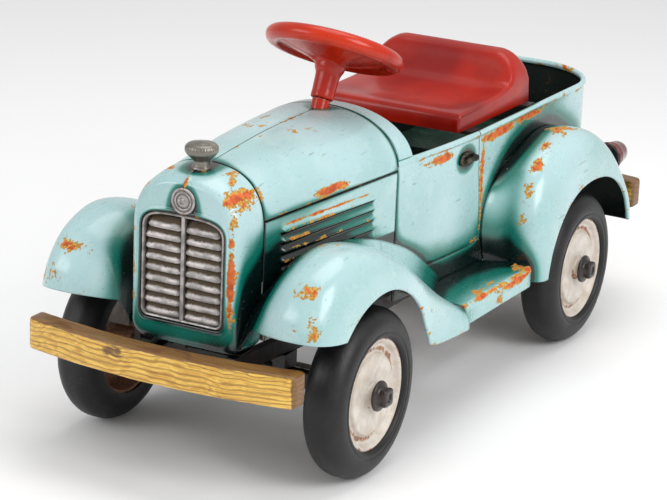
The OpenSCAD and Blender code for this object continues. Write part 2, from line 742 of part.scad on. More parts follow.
module column_bush() {
    color("dimgray") placed() on_shaft(hub_drop + 24) difference() {
        cylinder(h = 23, r = bush_r);
        translate([0, 0, -1]) cylinder(h = 30, r = shaft_r + fit);
    }
}

module steering_bracket() {
    y = wheel_y - bracket_at * sin(shaft_tilt);
    x = rail_front_x + (rail_rear_x - rail_front_x) * (y - rail_start) / (wide_y - rail_start);
    color("black") placed() difference() {
        union() {
            translate([-x - 5, y - 14, rail_high]) cube([2 * x + 10, 28, 4]);
            on_shaft(bracket_at + 12) cylinder(h = 24, r = 11);
        }
        on_shaft(bracket_at + 30) cylinder(h = 60, r = shaft_r + fit);
    }
}

module steering_wheel() {
    r = wheel_d / 2 - rim_tube_d / 2;
    color("firebrick") placed() on_shaft(0) difference() {
        union() {
            rotate_extrude() translate([r, 0]) circle(d = rim_tube_d);
            for (a = [90, 210, 330]) rotate([0, 0, a]) hull() {
                translate([12, -9, -9]) cube([1, 18, 8]);
                translate([r - 4, -7, -5]) cube([1, 14, 8]);
            }
            rotate_extrude() polygon([[12, -18], [r - 4, -3], [r - 4, 1], [12, -12]]);
            translate([0, 0, -hub_drop]) cylinder(h = hub_drop - 10, r1 = 14, r2 = 20);
            translate([0, 0, -10]) cylinder(h = 12, r1 = 20, r2 = 22);
        }
        translate([0, 0, -hub_drop - 1]) cylinder(h = hub_drop - 2, r = shaft_r + fit);
    }
}

module steering_shaft() {
    color("gray") placed() {
        on_shaft(shaft_len) cylinder(h = shaft_len - 4, r = shaft_r);
        on_shaft(shaft_len) translate([-7, 0, 0]) cube([14, drop_len, 6]);
        on_shaft(shaft_len) translate([0, drop_len, 0]) cylinder(h = 6, r = 7);
        on_shaft(shaft_len) translate([0, drop_len, -26]) cylinder(h = 28, r = 3.5);
    }
}

// ---------- pedals and rear axle ----------

module axle_hangers() {
    color("black") placed() pair() difference() {
        union() {
            translate([rail_rear_x - 5, wheelbase - 16, axle_z]) cube([10, 32, rail_low - axle_z]);
            bar_x(rail_rear_x - 5, rail_rear_x + 5, 16, wheelbase, axle_z);
        }
        bar_x(rail_rear_x - 6, rail_rear_x + 6, axle_d / 2 + 3, wheelbase, axle_z);
    }
}
module axle_bushes() {
    color("tan") placed() pair() difference() {
        union() {
            bar_x(rail_rear_x - 5, rail_rear_x + 5, axle_d / 2 + 3 - fit, wheelbase, axle_z);
            bar_x(rail_rear_x + 5, rail_rear_x + 7, axle_d / 2 + 5, wheelbase, axle_z);
        }
        bar_x(rail_rear_x - 6, rail_rear_x + 8, axle_d / 2 + fit, wheelbase, axle_z);
    }
}

// One half of the cranked axle, its pin on the side that 'way' points to (-1 is forward)
module crank_half(way) {
    pin_in = crank_x - rod_w / 2 - side_gap;
    pin_out = crank_x + rod_w / 2 + side_gap;
    y = wheelbase + way * throw;
    bar_x(0, pin_in, axle_d / 2, wheelbase, axle_z);
    bar_x(pin_in - web_t, pin_out + web_t, crank_pin_r, y, axle_z);
    bar_x(pin_out, tyre_out + 8, axle_d / 2, wheelbase, axle_z);
    for (x = [pin_in - web_t, pin_out]) {
        bar_x(x, x + web_t, 9, wheelbase, axle_z);
        bar_x(x, x + web_t, 8, y, axle_z);
        translate([x, min(y, wheelbase), axle_z - 7]) cube([web_t, throw, 14]);
    }
}
module crank_axle() {
    color("gray") placed() {
        crank_half(-1);
        mirror([1, 0, 0]) crank_half(1);
    }
}
module axle_nuts() {
    color("silver") placed() pair() difference() {
        bar_x(hub_end + side_gap, hub_end + 7, 9, wheelbase, axle_z);
        bar_x(hub_end, hub_end + 8, axle_d / 2 + fit, wheelbase, axle_z);
    }
}

// Push rod on the crank pin that 'way' points to
module push_rod(way) {
    y = wheelbase + way * throw;
    x = crank_x - rod_w / 2;
    difference() {
        union() {
            bar_x(x, x + rod_w, 10, y, axle_z);
            bar_x(x, x + rod_w, 9, y - rod_len, axle_z);
            translate([x + 1.5, y - rod_len, axle_z - 5]) cube([rod_w - 3, rod_len, 10]);
        }
        bar_x(x - 1, x + rod_w + 1, crank_pin_r + fit, y, axle_z);
        bar_x(x - 1, x + rod_w + 1, 4, y - rod_len, axle_z);
    }
}
module push_rod_left() {
    color("gray") placed() push_rod(-1);
}
module push_rod_right() {
    color("gray") placed() mirror([1, 0, 0]) push_rod(1);
}

module pedal_shaft() {
    x = body_half(pedal_y - 8) - sheet - 0.5;
    color("gray") placed() bar_x(-x, x, shaft_r, pedal_y, pedal_z);
}

// Turns its children about the pedal shaft, to the rest angle of one side
module on_lever(way) {
    translate([0, pedal_y, pedal_z]) rotate([-way * swing, 0, 0]) children();
}
module pedal_lever(way) {
    on_lever(-way) difference() {
        union() {
            bar_x(lever_in - 3, lever_in + 12, 11, 0, 0);
            translate([lever_in, -10, -lever_len]) cube([lever_t, 20, lever_len]);
            bar_x(lever_in, lever_in + lever_t, 10, 0, -lever_len);
            bar_x(lever_in, lever_in + lever_t + block_w + 6, pin_r, 0, -lever_len + block_up);
        }
        bar_x(lever_in - 4, lever_in + 13, shaft_r + fit, 0, 0);
        bar_x(lever_in - 1, lever_in + lever_t + 1, 4, 0, -lever_len);
    }
}
module pedal_lever_left() {
    color("gray") placed() pedal_lever(-1);
}
module pedal_lever_right() {
    color("gray") placed() mirror([1, 0, 0]) pedal_lever(1);
}

module pedal_block(way) {
    x = lever_in + lever_t + 1.5;
    color("black") placed() on_lever(-way) translate([0, 0, -lever_len + block_up]) difference() {
        translate([x, -15, -12]) cube([block_w, 30, 24]);
        bar_x(x - 1, x + block_w + 1, pin_r + fit, 0, 0);
        for (k = [0:3]) for (s = [-16, 14])
            translate([x + 5 + 9 * k, s, -13]) cube([2.5, 2, 26]);
    }
}
module pedal_block_left() {
    pedal_block(-1);
}
module pedal_block_right() {
    mirror([1, 0, 0]) pedal_block(1);
}

// ---------- wheels ----------

// Places its children at a wheel: the left side keeps +X outward, the right side is mirrored
module at_wheel(y, side) {
    placed() mirror([side < 0 ? 1 : 0, 0, 0]) translate([0, y, axle_z]) rotate([0, 90, 0])
        children();
}
module tyre_shape() {
    r = tyre_round;
    out = tyre_d / 2;
    rotate_extrude($fn = 96) polygon(concat([[rim_d / 2, tyre_in], [rim_d / 2 + 4, tyre_in]],
        [for (a = [-90:15:0]) [out - r + r * cos(a), tyre_in + r + r * sin(a)]],
        [for (a = [0:15:90]) [out - r + r * cos(a), tyre_out - r + r * sin(a)]],
        [[rim_d / 2 + 4, tyre_out], [rim_d / 2, tyre_out - 3]]));
}
module wheel_shape() {
    face = tyre_out - rim_recess;
    r = rim_d / 2;
    s = step_d / 2;
    h = hub_d / 2;
    difference() {
        rotate_extrude($fn = 96) polygon([[0, tyre_in + 1], [h, tyre_in + 1], [h, face - 6],
            [s - 4, face - 6], [s, face - 9], [r - 12, face - 9], [r - 4, face - 12],
            [r - 3, tyre_in + 5], [r, tyre_in + 5], [r, face], [r - 3, face + 2],
            [r - 6, face - 1], [r - 9, face - 5], [s + 3, face - 5], [s, face - 1],
            [s - 3, face - 2], [h + 6, face - 2], [h, hub_end], [0, hub_end]]);
        cylinder(h = 400, r = axle_d / 2 + fit);
    }
}
module cap_shape() {
    tip = tyre_out + cap_out;
    difference() {
        union() {
            translate([0, 0, hub_end]) cylinder(h = 4, r = cap_d / 2);
            translate([0, 0, hub_end + 4]) cylinder(h = tip - hub_end - 8, r1 = cap_d / 2 - 1.5,
                r2 = 13);
            translate([-10, -10, tip - 6]) cube([20, 20, 6]);
        }
        translate([0, 0, hub_end - 1]) cylinder(h = 11, r = 10.5);
    }
}
module tyre(y, side) {
    color("black") at_wheel(y, side) tyre_shape();
}
module wheel(y, side) {
    color("antiquewhite") at_wheel(y, side) wheel_shape();
}
module hub_cap(y, side) {
    color("saddlebrown") at_wheel(y, side) cap_shape();
}

radiator_shell();
grille();
badge();
radiator_cap();
hood();
hood_side_left();
hood_side_right();
cowl();
body_tub();
box_floor();
seat();
seat_supports();
door_handles();
tail_light_bases();
tail_light_lenses();
front_fender_left();
front_fender_right();
rear_fender_left();
rear_fender_right();
running_board_left();
running_board_right();
front_bumper();
rear_bumper();
bumper_brackets();
bumper_screws();
frame_rails();
cross_members();
front_axle();
kingpins();
axle_hangers();
axle_bushes();
column_bush();
steering_bracket();
steering_wheel();
steering_shaft();
tie_rod();
knuckle_left();
knuckle_right();
crank_axle();
axle_nuts();
push_rod_left();
push_rod_right();
pedal_shaft();
pedal_lever_left();
pedal_lever_right();
pedal_block_left();
pedal_block_right();
tyre(0, 1);  // tyre_front_left
tyre(0, -1);  // tyre_front_right
tyre(wheelbase, 1);  // tyre_rear_left
tyre(wheelbase, -1);  // tyre_rear_right
wheel(0, 1);  // wheel_front_left
wheel(0, -1);  // wheel_front_right
wheel(wheelbase, 1);  // wheel_rear_left
wheel(wheelbase, -1);  // wheel_rear_right
hub_cap(0, 1);  // hub_cap_front_left
hub_cap(0, -1);  // hub_cap_front_right
hub_cap(wheelbase, 1);  // hub_cap_rear_left
hub_cap(wheelbase, -1);  // hub_cap_rear_right
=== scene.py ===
"""Looks of a child's pedal car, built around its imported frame.

Lengths are written in millimetres from the front axle: x to the car's left, y to the rear, z up.
"""

import json
import math

import bmesh
import bpy
from mathutils import Matrix, Vector
from mathutils.bvhtree import BVHTree
from mathutils.noise import noise

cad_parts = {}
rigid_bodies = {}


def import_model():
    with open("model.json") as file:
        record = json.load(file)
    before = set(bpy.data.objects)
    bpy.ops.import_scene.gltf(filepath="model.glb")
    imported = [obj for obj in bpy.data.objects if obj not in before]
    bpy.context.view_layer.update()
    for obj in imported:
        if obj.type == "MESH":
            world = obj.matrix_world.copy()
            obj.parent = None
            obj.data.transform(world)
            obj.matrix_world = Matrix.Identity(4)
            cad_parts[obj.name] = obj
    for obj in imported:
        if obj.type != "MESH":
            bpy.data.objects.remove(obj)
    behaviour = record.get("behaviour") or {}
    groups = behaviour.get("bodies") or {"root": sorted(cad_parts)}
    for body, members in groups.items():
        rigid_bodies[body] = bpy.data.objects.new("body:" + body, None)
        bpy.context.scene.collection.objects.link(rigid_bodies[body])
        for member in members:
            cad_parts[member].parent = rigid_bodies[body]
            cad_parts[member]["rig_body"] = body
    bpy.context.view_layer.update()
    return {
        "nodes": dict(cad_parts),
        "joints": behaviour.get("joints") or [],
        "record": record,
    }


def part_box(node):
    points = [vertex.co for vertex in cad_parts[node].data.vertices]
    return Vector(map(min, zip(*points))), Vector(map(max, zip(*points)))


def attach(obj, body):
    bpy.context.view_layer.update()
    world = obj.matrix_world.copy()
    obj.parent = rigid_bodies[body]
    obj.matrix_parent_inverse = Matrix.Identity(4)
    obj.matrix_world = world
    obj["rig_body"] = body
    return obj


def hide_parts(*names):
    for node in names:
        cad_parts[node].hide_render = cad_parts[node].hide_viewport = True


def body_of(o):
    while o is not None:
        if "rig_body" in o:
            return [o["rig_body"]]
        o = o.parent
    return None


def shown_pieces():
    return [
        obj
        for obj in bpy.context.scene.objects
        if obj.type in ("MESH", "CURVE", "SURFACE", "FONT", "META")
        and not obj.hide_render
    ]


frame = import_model()

# ---- Radiator shell ----
# The upright nose: one steel pressing with an arched top, rolled round the grille opening.
# It is spot-welded to the front cross member and enamelled with the rest of the body.

MM = 0.001
wheel_low, wheel_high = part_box("tyre_front_left")
AXLE_Y = (wheel_low.y + wheel_high.y) / 2
AXLE_Z = (wheel_low.z + wheel_high.z) / 2 / MM


def place(point):
    """A point in millimetres from the front axle, as the frame's metres."""
    return Vector((point[0] * MM, AXLE_Y + point[1] * MM, point[2] * MM))


def mix(a, b, t):
    return a + (b - a) * t


def ease(t):
    t = min(max(t, 0.0), 1.0)
    return t * t * (3 - 2 * t)


def arc(centre, rx, rz, first, last, steps):
    """Points of an ellipse's arc in a plane, between two angles in degrees."""
    turns = [math.radians(mix(first, last, i / steps)) for i in range(steps + 1)]
    return [(centre[0] + rx * math.cos(a), centre[1] + rz * math.sin(a)) for a in turns]


def circle(count):
    """Angles of evenly spaced points round a circle."""
    return [2 * math.pi * k / count for k in range(count)]


def curve(points, cuts):
    """Smooth curve through given points, with 'cuts' pieces between neighbours."""
    out, last = [], len(points) - 1
    for i in range(last):
        a, b, c, d = (Vector(points[min(max(k, 0), last)]) for k in range(i - 1, i + 3))
        for k in range(cuts):
            t = k / cuts
            out.append(0.5 * (2 * b + (c - a) * t + (2 * a - 5 * b + 4 * c - d) * t * t
                              + (3 * b - a - 3 * c + d) * t ** 3))
    return out + [Vector(points[last])]


def even(points, count):
    """The same line with its points at even distances."""
    run = [0.0]
    for a, b in zip(points, points[1:]):
        run.append(run[-1] + (Vector(b) - Vector(a)).length)
    out, i = [], 0
    for k in range(count):
        at = run[-1] * k / (count - 1)
        while i < len(points) - 2 and run[i + 1] < at:
            i += 1
        t = (at - run[i]) / max(run[i + 1] - run[i], 1e-9)
        out.append(Vector(points[i]).lerp(Vector(points[i + 1]), min(t, 1.0)))
    return out


def quads(rows, columns, closed=False):
    """Faces over a grid of points, row after row."""
    last = columns if closed else columns - 1
    return [(i * columns + j, i * columns + (j + 1) % columns,
             (i + 1) * columns + (j + 1) % columns, (i + 1) * columns + j)
            for i in range(rows - 1) for j in range(last)]


def piece(name, grids, finish, body="chassis", stands_for=(), thick=0.0,
          inside=None, closed=False, capped=False, mirrored=False, sharp=40):
    """Makes one visible piece from grids of points and hangs it on its body.

    thick turns a sheet into a shell, 'inside' being a point behind it; capped closes a tube's ends.
    """
    mesh = bmesh.new()
    for grid in grids:
        points = [Vector(p) for row in grid for p in row]
        if mirrored:
            points = [Vector((-p.x, p.y, p.z)) for p in points]
        made = [mesh.verts.new(place(p)) for p in points]
        columns = len(grid[0])
        faces = quads(len(grid), columns, closed)
        if capped:
            faces += [tuple(range(columns)), tuple(range(len(made) - columns, len(made)))]
        for face in faces:
            corners = [made[k] for k in dict.fromkeys(face)]
            if len(corners) > 2:
                mesh.faces.new(corners)
    bmesh.ops.remove_doubles(mesh, verts=mesh.verts, dist=0.02 * MM)
    bmesh.ops.dissolve_degenerate(mesh, edges=mesh.edges, dist=0.005 * MM)
    if inside is None:
        bmesh.ops.recalc_face_normals(mesh, faces=mesh.faces)
    else:
        back = Vector((-inside[0] if mirrored else inside[0], *inside[1:]))
        mesh.normal_update()
        facing = sum((f.calc_center_median() - place(back)).dot(f.normal) * f.calc_area()
                     for f in mesh.faces)
        if facing < 0:
            bmesh.ops.reverse_faces(mesh, faces=mesh.faces)
    data = bpy.data.meshes.new(name)
    mesh.to_mesh(data)
    mesh.free()
    data.shade_smooth()
    data.set_sharp_from_angle(angle=math.radians(sharp))
    made = bpy.data.objects.new(name, data)
    bpy.context.scene.collection.objects.link(made)
    for material in finish if isinstance(finish, tuple) else (finish,):
        data.materials.append(material)
    if thick:
        shell = made.modifiers.new("thickness", "SOLIDIFY")
        shell.thickness, shell.offset = thick * MM, -1
        # The shell's inner faces take the last material; on the bodywork that is the near-black painted
        # shade.
        shell.material_offset = len(data.materials) - 1
    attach(made, body)
    if stands_for:
        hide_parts(*stands_for)
    return made


class Wire:
    """A socket of the material in hand; sums and products of wires add the nodes they need."""

    tree = None

    def __init__(self, socket):
        self.socket = socket

    @classmethod
    def node(cls, kind, sockets, out=0, stops=(), **settings):
        made = cls.tree.nodes.new("ShaderNode" + kind)
        for key, value in settings.items():
            setattr(made, key, value)
        for i, (at, tone) in enumerate(stops):
            steps = made.color_ramp.elements
            step = steps[i] if i < len(steps) else steps.new(at)
            step.position, step.color = at, tone
        for key, value in sockets.items():
            if isinstance(value, Wire):
                cls.tree.links.new(value.socket, made.inputs[key])
            else:
                made.inputs[key].default_value = value
        return cls(made.outputs[out])

    def maths(self, operation, a, b):
        if any(isinstance(w, Wire) and w.socket.type == "VECTOR" for w in (a, b)):
            a, b = ((w,) * 3 if isinstance(w, (int, float)) else w for w in (a, b))
            return Wire.node("VectorMath", {0: a, 1: b}, operation=operation)
        return Wire.node("Math", {0: a, 1: b}, operation=operation)

    def __add__(self, other):
        return self.maths("ADD", self, other)

    def __sub__(self, other):
        return self.maths("SUBTRACT", self, other)

    def __rsub__(self, other):
        return self.maths("SUBTRACT", other, self)

    def __mul__(self, other):
        return self.maths("MULTIPLY", self, other)

    __radd__, __rmul__ = __add__, __mul__


def paint(red, green, blue):
    """A colour as it looks on a paint card, 0 to 255, for a colour socket."""
    return tuple(mix(c / 12.92, ((c + 0.055) / 1.055) ** 2.4, c > 0.04045)
                 for c in (red / 255, green / 255, blue / 255)) + (1.0,)


def begin(name):
    """Starts a material. Gives it and the place on the piece, in millimetres."""
    made = bpy.data.materials.new(name)
    made.use_nodes = True
    Wire.tree = made.node_tree
    Wire.tree.nodes.clear()
    return made, Wire.node("TexCoord", {}, out="Object") * 1000


def speckle(at, size, detail=3.0, rough=0.55):
    """Cloudy noise with patches about 'size' millimetres across, from 0 to 1."""
    return Wire.node("TexNoise", {"Vector": at, "Scale": 1 / size, "Detail": detail,
                                  "Roughness": rough})


def stretched(at, *scale):
    """The place scaled along x, y and z, so that noise on it runs out into streaks."""
    return Wire.node("VectorMath", {0: at, 1: scale}, operation="MULTIPLY")


def stored():
    """The three values kept on each vertex under the name finish; on the bodywork they are wear,
    painted shade and dark line.
    """
    tone = Wire.node("Attribute", {}, out="Color", attribute_name="finish")
    split = Wire.node("SeparateColor", {"Color": tone}).socket.node
    return [Wire(split.outputs[k]) for k in range(3)]


def rise(wire, low, high):
    """0 below low, 1 above high and a soft step between them."""
    return Wire.node("MapRange", {"Value": wire, "From Min": low, "From Max": high},
                     interpolation_type="SMOOTHSTEP")


def over(mask, under, top):
    """One colour laid over another where the mask is 1."""
    return Wire.node("Mix", {0: mask, 6: under, 7: top}, out=2, data_type="RGBA")


def close(made, height=None, depth=0.3, **sockets):
    """Ends a material: its surface sockets, and a relief 'depth' millimetres deep."""
    sockets = {key.replace("_", " "): value for key, value in sockets.items()}
    if height is not None:
        sockets["Normal"] = Wire.node("Bump", {"Height": height, "Distance": depth * MM})
    shader = Wire.node("BsdfPrincipled", sockets)
    ending = Wire.tree.nodes.new("ShaderNodeOutputMaterial")
    Wire.tree.links.new(shader.socket, ending.inputs["Surface"])
    return made


# The body's finish: two coats of pale aqua enamel with painted shade, darker teal to near black in the
# hollows and low down, chipped down to ochre primer and rust where hands and feet rub. Each vertex says
# how worn, shaded or seamed it is.
def body_enamel():
    made, at = begin("body_enamel")
    worn, hollow, seam_and_shade = stored()
    broad, cloud, fine = speckle(at, 170, 2), speckle(at, 34, 4), speckle(at, 5, 3)
    tone = over(rise(broad, 0.36, 0.64), paint(160, 196, 196), paint(177, 208, 211))
    tone = over(rise(cloud, 0.5, 0.72) * 0.5, tone, paint(186, 213, 211))
    # Painted shade: the stored hollow value turns hollows and lower parts darker teal and near black.
    shade = hollow + (cloud - 0.5) * 0.14 + (broad - 0.5) * 0.12
    tone = over(rise(shade, 0.2, 0.46) * 0.8, tone, paint(96, 164, 156))
    tone = over(rise(shade, 0.3, 0.58), tone, paint(6, 112, 98))
    tone = over(rise(shade, 0.62, 0.92), tone, paint(1, 24, 22))
    long = stretched(at, 1.0, 0.5, 1.0)
    chips, crumbs = speckle(long, 13, 5, 0.62), speckle(at, 3.2, 2)
    field = worn + (chips - 0.5) * 1.3 + (crumbs - 0.5) * 0.3 + (broad - 0.5) * 0.25
    halo, bare = rise(field, 0.42, 0.45), rise(field, 0.545, 0.575)
    ochre = over(rise(crumbs, 0.4, 0.6), paint(202, 156, 62), paint(172, 124, 40))
    rust = over(rise(speckle(at, 9, 4), 0.4, 0.62), paint(214, 104, 48), paint(176, 70, 24))
    streak = stretched(at, 1.0, 0.07, 0.6)
    scratch = rise(speckle(streak, 2.2, 2, 0.4), 0.71, 0.74)
    tone = over(scratch * 0.45, tone, paint(92, 110, 96))
    tone = over(halo, tone, ochre)
    tone = over(bare, tone, rust)
    # Dark seam lines, which also paint shade into the louvre slots, the grille opening and under the
    # top rail.
    tone = over(rise(seam_and_shade + (fine - 0.5) * 0.3, 0.3, 0.75) * 0.93, tone, paint(12, 22, 18))
    rough = 0.27 + 0.42 * halo + (cloud - 0.5) * 0.16 + (fine - 0.5) * 0.06
    return close(made, height=(1 - halo) * 0.8 + fine * 0.12 - scratch * 0.2 + crumbs * halo * 0.4,
                 depth=0.35, Base_Color=tone, Roughness=rough, Coat_Weight=(1 - halo) * 0.45,
                 Coat_Roughness=0.16, Specular_IOR_Level=0.5)


BODY = body_enamel()


# The sheets' inner faces: near black with a green cast, painted as shade, with a few brown specks.
def inner_painted_shade():
    made, at = begin("inner_painted_shade")
    cloud, fine = speckle(at, 45, 4), speckle(at, 6, 3)
    tone = over(rise(cloud, 0.35, 0.7), paint(7, 12, 11), paint(11, 30, 25))
    tone = over(rise(fine * cloud, 0.34, 0.4) * 0.6, tone, paint(70, 46, 26))
    return close(made, height=fine, depth=0.3, Base_Color=tone, Roughness=0.62 + (fine - 0.5) * 0.3,
                 Specular_IOR_Level=0.3)


INNER_SHADE = inner_painted_shade()

# Where the enamel has worn through, as (x, y, z), reach in each direction, and how far.
# Negative x stands for both sides; the rest lie on the car's left only.
RUBBED = [
    ((-57, -94, 331), (13, 24, 13), 0.72), ((-62, -62, 330), (6, 6, 8), 0.5),
    ((62, -119, 246), (3.6, 7, 46), 0.85), ((-64, -118, 235), (3, 5, 60), 0.42),
    ((-2, -118, 311), (34, 6, 3.5), 0.5), ((0, -92, 354), (15, 15, 6), 0.5),
    ((1, -116, 342), (2, 9, 9), 0.62), ((88, 62, 311), (9, 34, 4.6), 0.85),
    ((7, 30, 371), (5, 15, 6), 0.6), ((-30, 80, 368), (26, 40, 10), 0.34),
    ((-115, 286, 300), (7, 40, 5.0), 0.82), ((-118, 440, 302), (7, 44, 6.0), 0.82),
    ((-118, 530, 305), (7, 46, 5.0), 0.72), ((-112, 630, 308), (9, 42, 7), 0.55),
    ((-60, 770, 313), (40, 20, 5), 0.5), ((-119, 397, 222), (4, 5, 48), 0.56),
    ((-118, 384, 174), (4, 18, 7), 0.5), ((-158, 505, 273), (9, 13, 9), 0.62),
    ((-161, 468, 254), (9, 13, 12), 0.72), ((-163, 442, 226), (8, 10, 15), 0.74),
    ((-165, 431, 190), (8, 8, 17), 0.7), ((-152, 78, 243), (16, 22, 8), 0.55),
    ((-186, 58, 214), (8, 30, 9), 0.5), ((-182, 118, 168), (9, 16, 10), 0.46),
    ((-168, -128, 208), (16, 12, 15), 0.58), ((-150, -118, 248), (22, 16, 14), 0.45),
    ((-186, 372, 137), (4, 58, 5.5), 0.78), ((-187, 330, 124), (4, 18, 8), 0.6),
    ((-186, 560, 222), (8, 40, 8), 0.4), ((-182, 640, 190), (9, 26, 16), 0.42),
    ((150, 96, 232), (18, 14, 8), 0.74), ((176, 30, 236), (12, 24, 9), 0.6),
    ((-140, -30, 268), (22, 20, 9), 0.5), ((-188, -40, 214), (7, 26, 8), 0.5),
    ((-150, 560, 284), (18, 30, 8), 0.56), ((118, 396, 262), (5, 7, 34), 0.66),
    ((-172, 300, 143), (10, 34, 5), 0.5), ((-170, 400, 143), (13, 20, 5), 0.5),
    ((60, -10, 366), (18, 34, 9), 0.42), ((-46, -84, 352), (14, 16, 8), 0.6),
]


def finish(made, edge=None, seam_and_shade=None, base=0.1):
    """Writes each vertex's wear and dark line, and leaves its painted shade at 0 for the shading pass.
    edge gives wear at a point; seam gives the dark line, which marks seams and also paints shade into
    slots, openings and under rails.
    """
    layer = made.data.attributes.new("finish", "FLOAT_COLOR", "POINT")
    for vertex in made.data.vertices:
        x, y, z = vertex.co.x / MM, (vertex.co.y - AXLE_Y) / MM, vertex.co.z / MM
        worn = base
        for (cx, cy, cz), (rx, ry, rz), much in RUBBED:
            dy, dz = (y - cy) / ry, (z - cz) / rz
            if abs(dy) < 2.2 and abs(dz) < 2.2:
                dx = (abs(x) + cx) / rx if cx < 0 else (x - cx) / rx
                worn = max(worn, much * math.exp(-0.55 * (dx * dx + dy * dy + dz * dz)))
        if edge:
            worn = max(worn, edge(x, y, z))
        dark = seam_and_shade(x, y, z) if seam_and_shade else 0.0
        layer.data[vertex.index].color = (worn, 0.0, dark, 1.0)
    return made


NOSE_FRONT, NOSE_SEAM, COWL_SEAM = 120, 65, 198
NOSE_HALF, NOSE_TOP, NOSE_SPRING, NOSE_LOW = 72, 358, 285, 152
TUB_HALF, TUB_REAR, TUB_CORNER, SILL, RAIL = 118, 786, 102, 140, 316
GRILLE_HALF, GRILLE_LOW, GRILLE_TOP = 54, 183, 309
SHEET = 2.2
SEAM_ROLL = [(0.0, 2.2), (0.15, 1.1), (0.7, 0.35), (1.8, 0.0)]  # (distance from edge, tuck)


def body_half(y):
    """Half the body's width at a distance behind the front axle."""
    if y < -NOSE_SEAM:
        return NOSE_HALF - 1.5 * (-NOSE_SEAM - y) / (NOSE_FRONT - NOSE_SEAM)
    if y < COWL_SEAM:
        return mix(NOSE_HALF, 102, (y + NOSE_SEAM) / (COWL_SEAM + NOSE_SEAM))
    if y < 400:
        return mix(102, TUB_HALF, math.sin(math.radians(90 * (y - COWL_SEAM) / (400 - COWL_SEAM))))
    if y < TUB_REAR - TUB_CORNER:
        return TUB_HALF
    return TUB_HALF - TUB_CORNER + math.sqrt(max(0, TUB_CORNER ** 2
                                                 - (y - TUB_REAR + TUB_CORNER) ** 2))


ARCH_TURNS = sorted([3 * i for i in range(61)] + [1.2, 178.8, 88.9, 89.5, 89.82, 90.18, 90.5, 91.1])


def arch(half, spring, top, power, first=0.0):
    """Squared arch from the left foot over the top to the right foot."""
    out = []
    for turn in ARCH_TURNS:
        a = math.radians(mix(first, 180 - first, turn / 180))
        c, s = math.cos(a), max(math.sin(a), 0.0)
        out.append((math.copysign(half * abs(c) ** (2 / power), c),
                    spring + (top - spring) * s ** (2 / power)))
    return out


def shield(half, spring, top, power, low, corner):
    """Closed outline: an arch on straight sides, with rounded lower corners."""
    left = arc((-half + corner, low + corner), corner, corner, 180, 270, 7)
    right = arc((half - corner, low + corner), corner, corner, 270, 360, 7)
    side = [mix(spring, low + corner, i / 26) for i in range(1, 26)]
    foot = [mix(-half + corner, half - corner, i / 26) for i in range(1, 26)]
    return (arch(half, spring, top, power) + [(-half, z) for z in side] + left
            + [(x, low) for x in foot] + right + [(half, z) for z in reversed(side)])


def upright(outline, y):
    return [(x, y, z) for x, z in outline]


def nose_ring(y, tuck, down, lift):
    return upright(shield(NOSE_HALF - tuck, NOSE_SPRING, NOSE_TOP - down, 2.5, NOSE_LOW + lift, 16), y)


def grille_plan(d):
    """The grille opening's outline, drawn in by d."""
    return shield(GRILLE_HALF - d, GRILLE_TOP - 26, GRILLE_TOP - d, 3.6, GRILLE_LOW + d, 9 - d / 2)


back = -NOSE_SEAM - 0.6
keys = curve([(back - 2, 0, 0, 0), (-85, 0.3, 1.4, 0.2), (-104, 1.4, 5, 1), (-112, 3, 8, 3),
              (-117, 5.5, 11, 6), (-119.4, 8, 13.6, 8.8)], 4)
rings = [nose_ring(back - off, tuck, tuck, tuck) for off, tuck in SEAM_ROLL] + [
    nose_ring(*key) for key in keys]
face, opening = shield(62, 285, 342.5, 2.5, 162, 16), grille_plan(-5.5)
rings += [[(mix(a[0], b[0], t), -120.1 - 0.5 * math.sin(math.pi * t), mix(a[1], b[1], t))
           for a, b in zip(face, opening)] for t in (0, 0.2, 0.4, 0.6, 0.8, 1)]
rings += [upright(grille_plan(d), y) for d, y in
          [(-4.6, -120.6), (-3.4, -121.7), (-2.2, -122.1), (-1, -121.7), (-0.2, -120.6),
           (0, -119), (0, -115), (0, -111)]]
for ring in rings:  # the pressed ridge down the middle of the nose
    for k, (x, y, z) in enumerate(ring):
        if z > GRILLE_TOP + 4:
            lift = 1.1 * max(0.0, 1 - abs(x) / 2.4) * ease((-y - 68) / 8)
            ring[k] = (x, y - 0.7 * lift, z + lift)
nose = piece("radiator_shell", [rings], (BODY, INNER_SHADE), stands_for=["radiator_shell"],
             thick=SHEET, inside=(0, -80, 250), closed=True)


def nose_edge(x, y, z):
    """Wear of the shell's front edge and of the grille's surround."""
    round_front = math.exp(-((y + 116) / 5) ** 2) * 0.3
    return round_front * (0.7 + 0.9 * noise(Vector((x, y, z)) / 40))


def nose_seam_and_shade(x, y, z):
    # Dark lines at the seam with the hood and along the ridge, and painted shade inside the grille
    # opening.
    ridge = 0.9 * max(0.0, 1 - abs(x) / 0.9) * (z > GRILLE_TOP + 10)
    return max(ease((y - back + 1.5) / 1.5), 0.75 * ridge * ease((z - 318) / 10),
               0.8 * (y > -119.5) * (abs(x) < GRILLE_HALF + 0.5) * (GRILLE_LOW < z < GRILLE_TOP))


finish(nose, nose_edge, nose_seam_and_shade)

# ---- Hood ----
# The bonnet's top, arched and swept back to the cowl, with a hinge line pressed down its middle.
# It drops over the shell and the cowl and is held by the panels under it.


def hood_shape(y):
    """Half width, spring, top and squareness of the hood's arch, and the height of its foot."""
    t = (y + NOSE_SEAM) / (COWL_SEAM + NOSE_SEAM)
    return (mix(NOSE_HALF, 102, t), mix(NOSE_SPRING, 300, t),
            mix(NOSE_TOP, 370, t) + 5 * math.sin(math.pi * t), mix(2.5, 2.2, t), 301 + 4 * t)


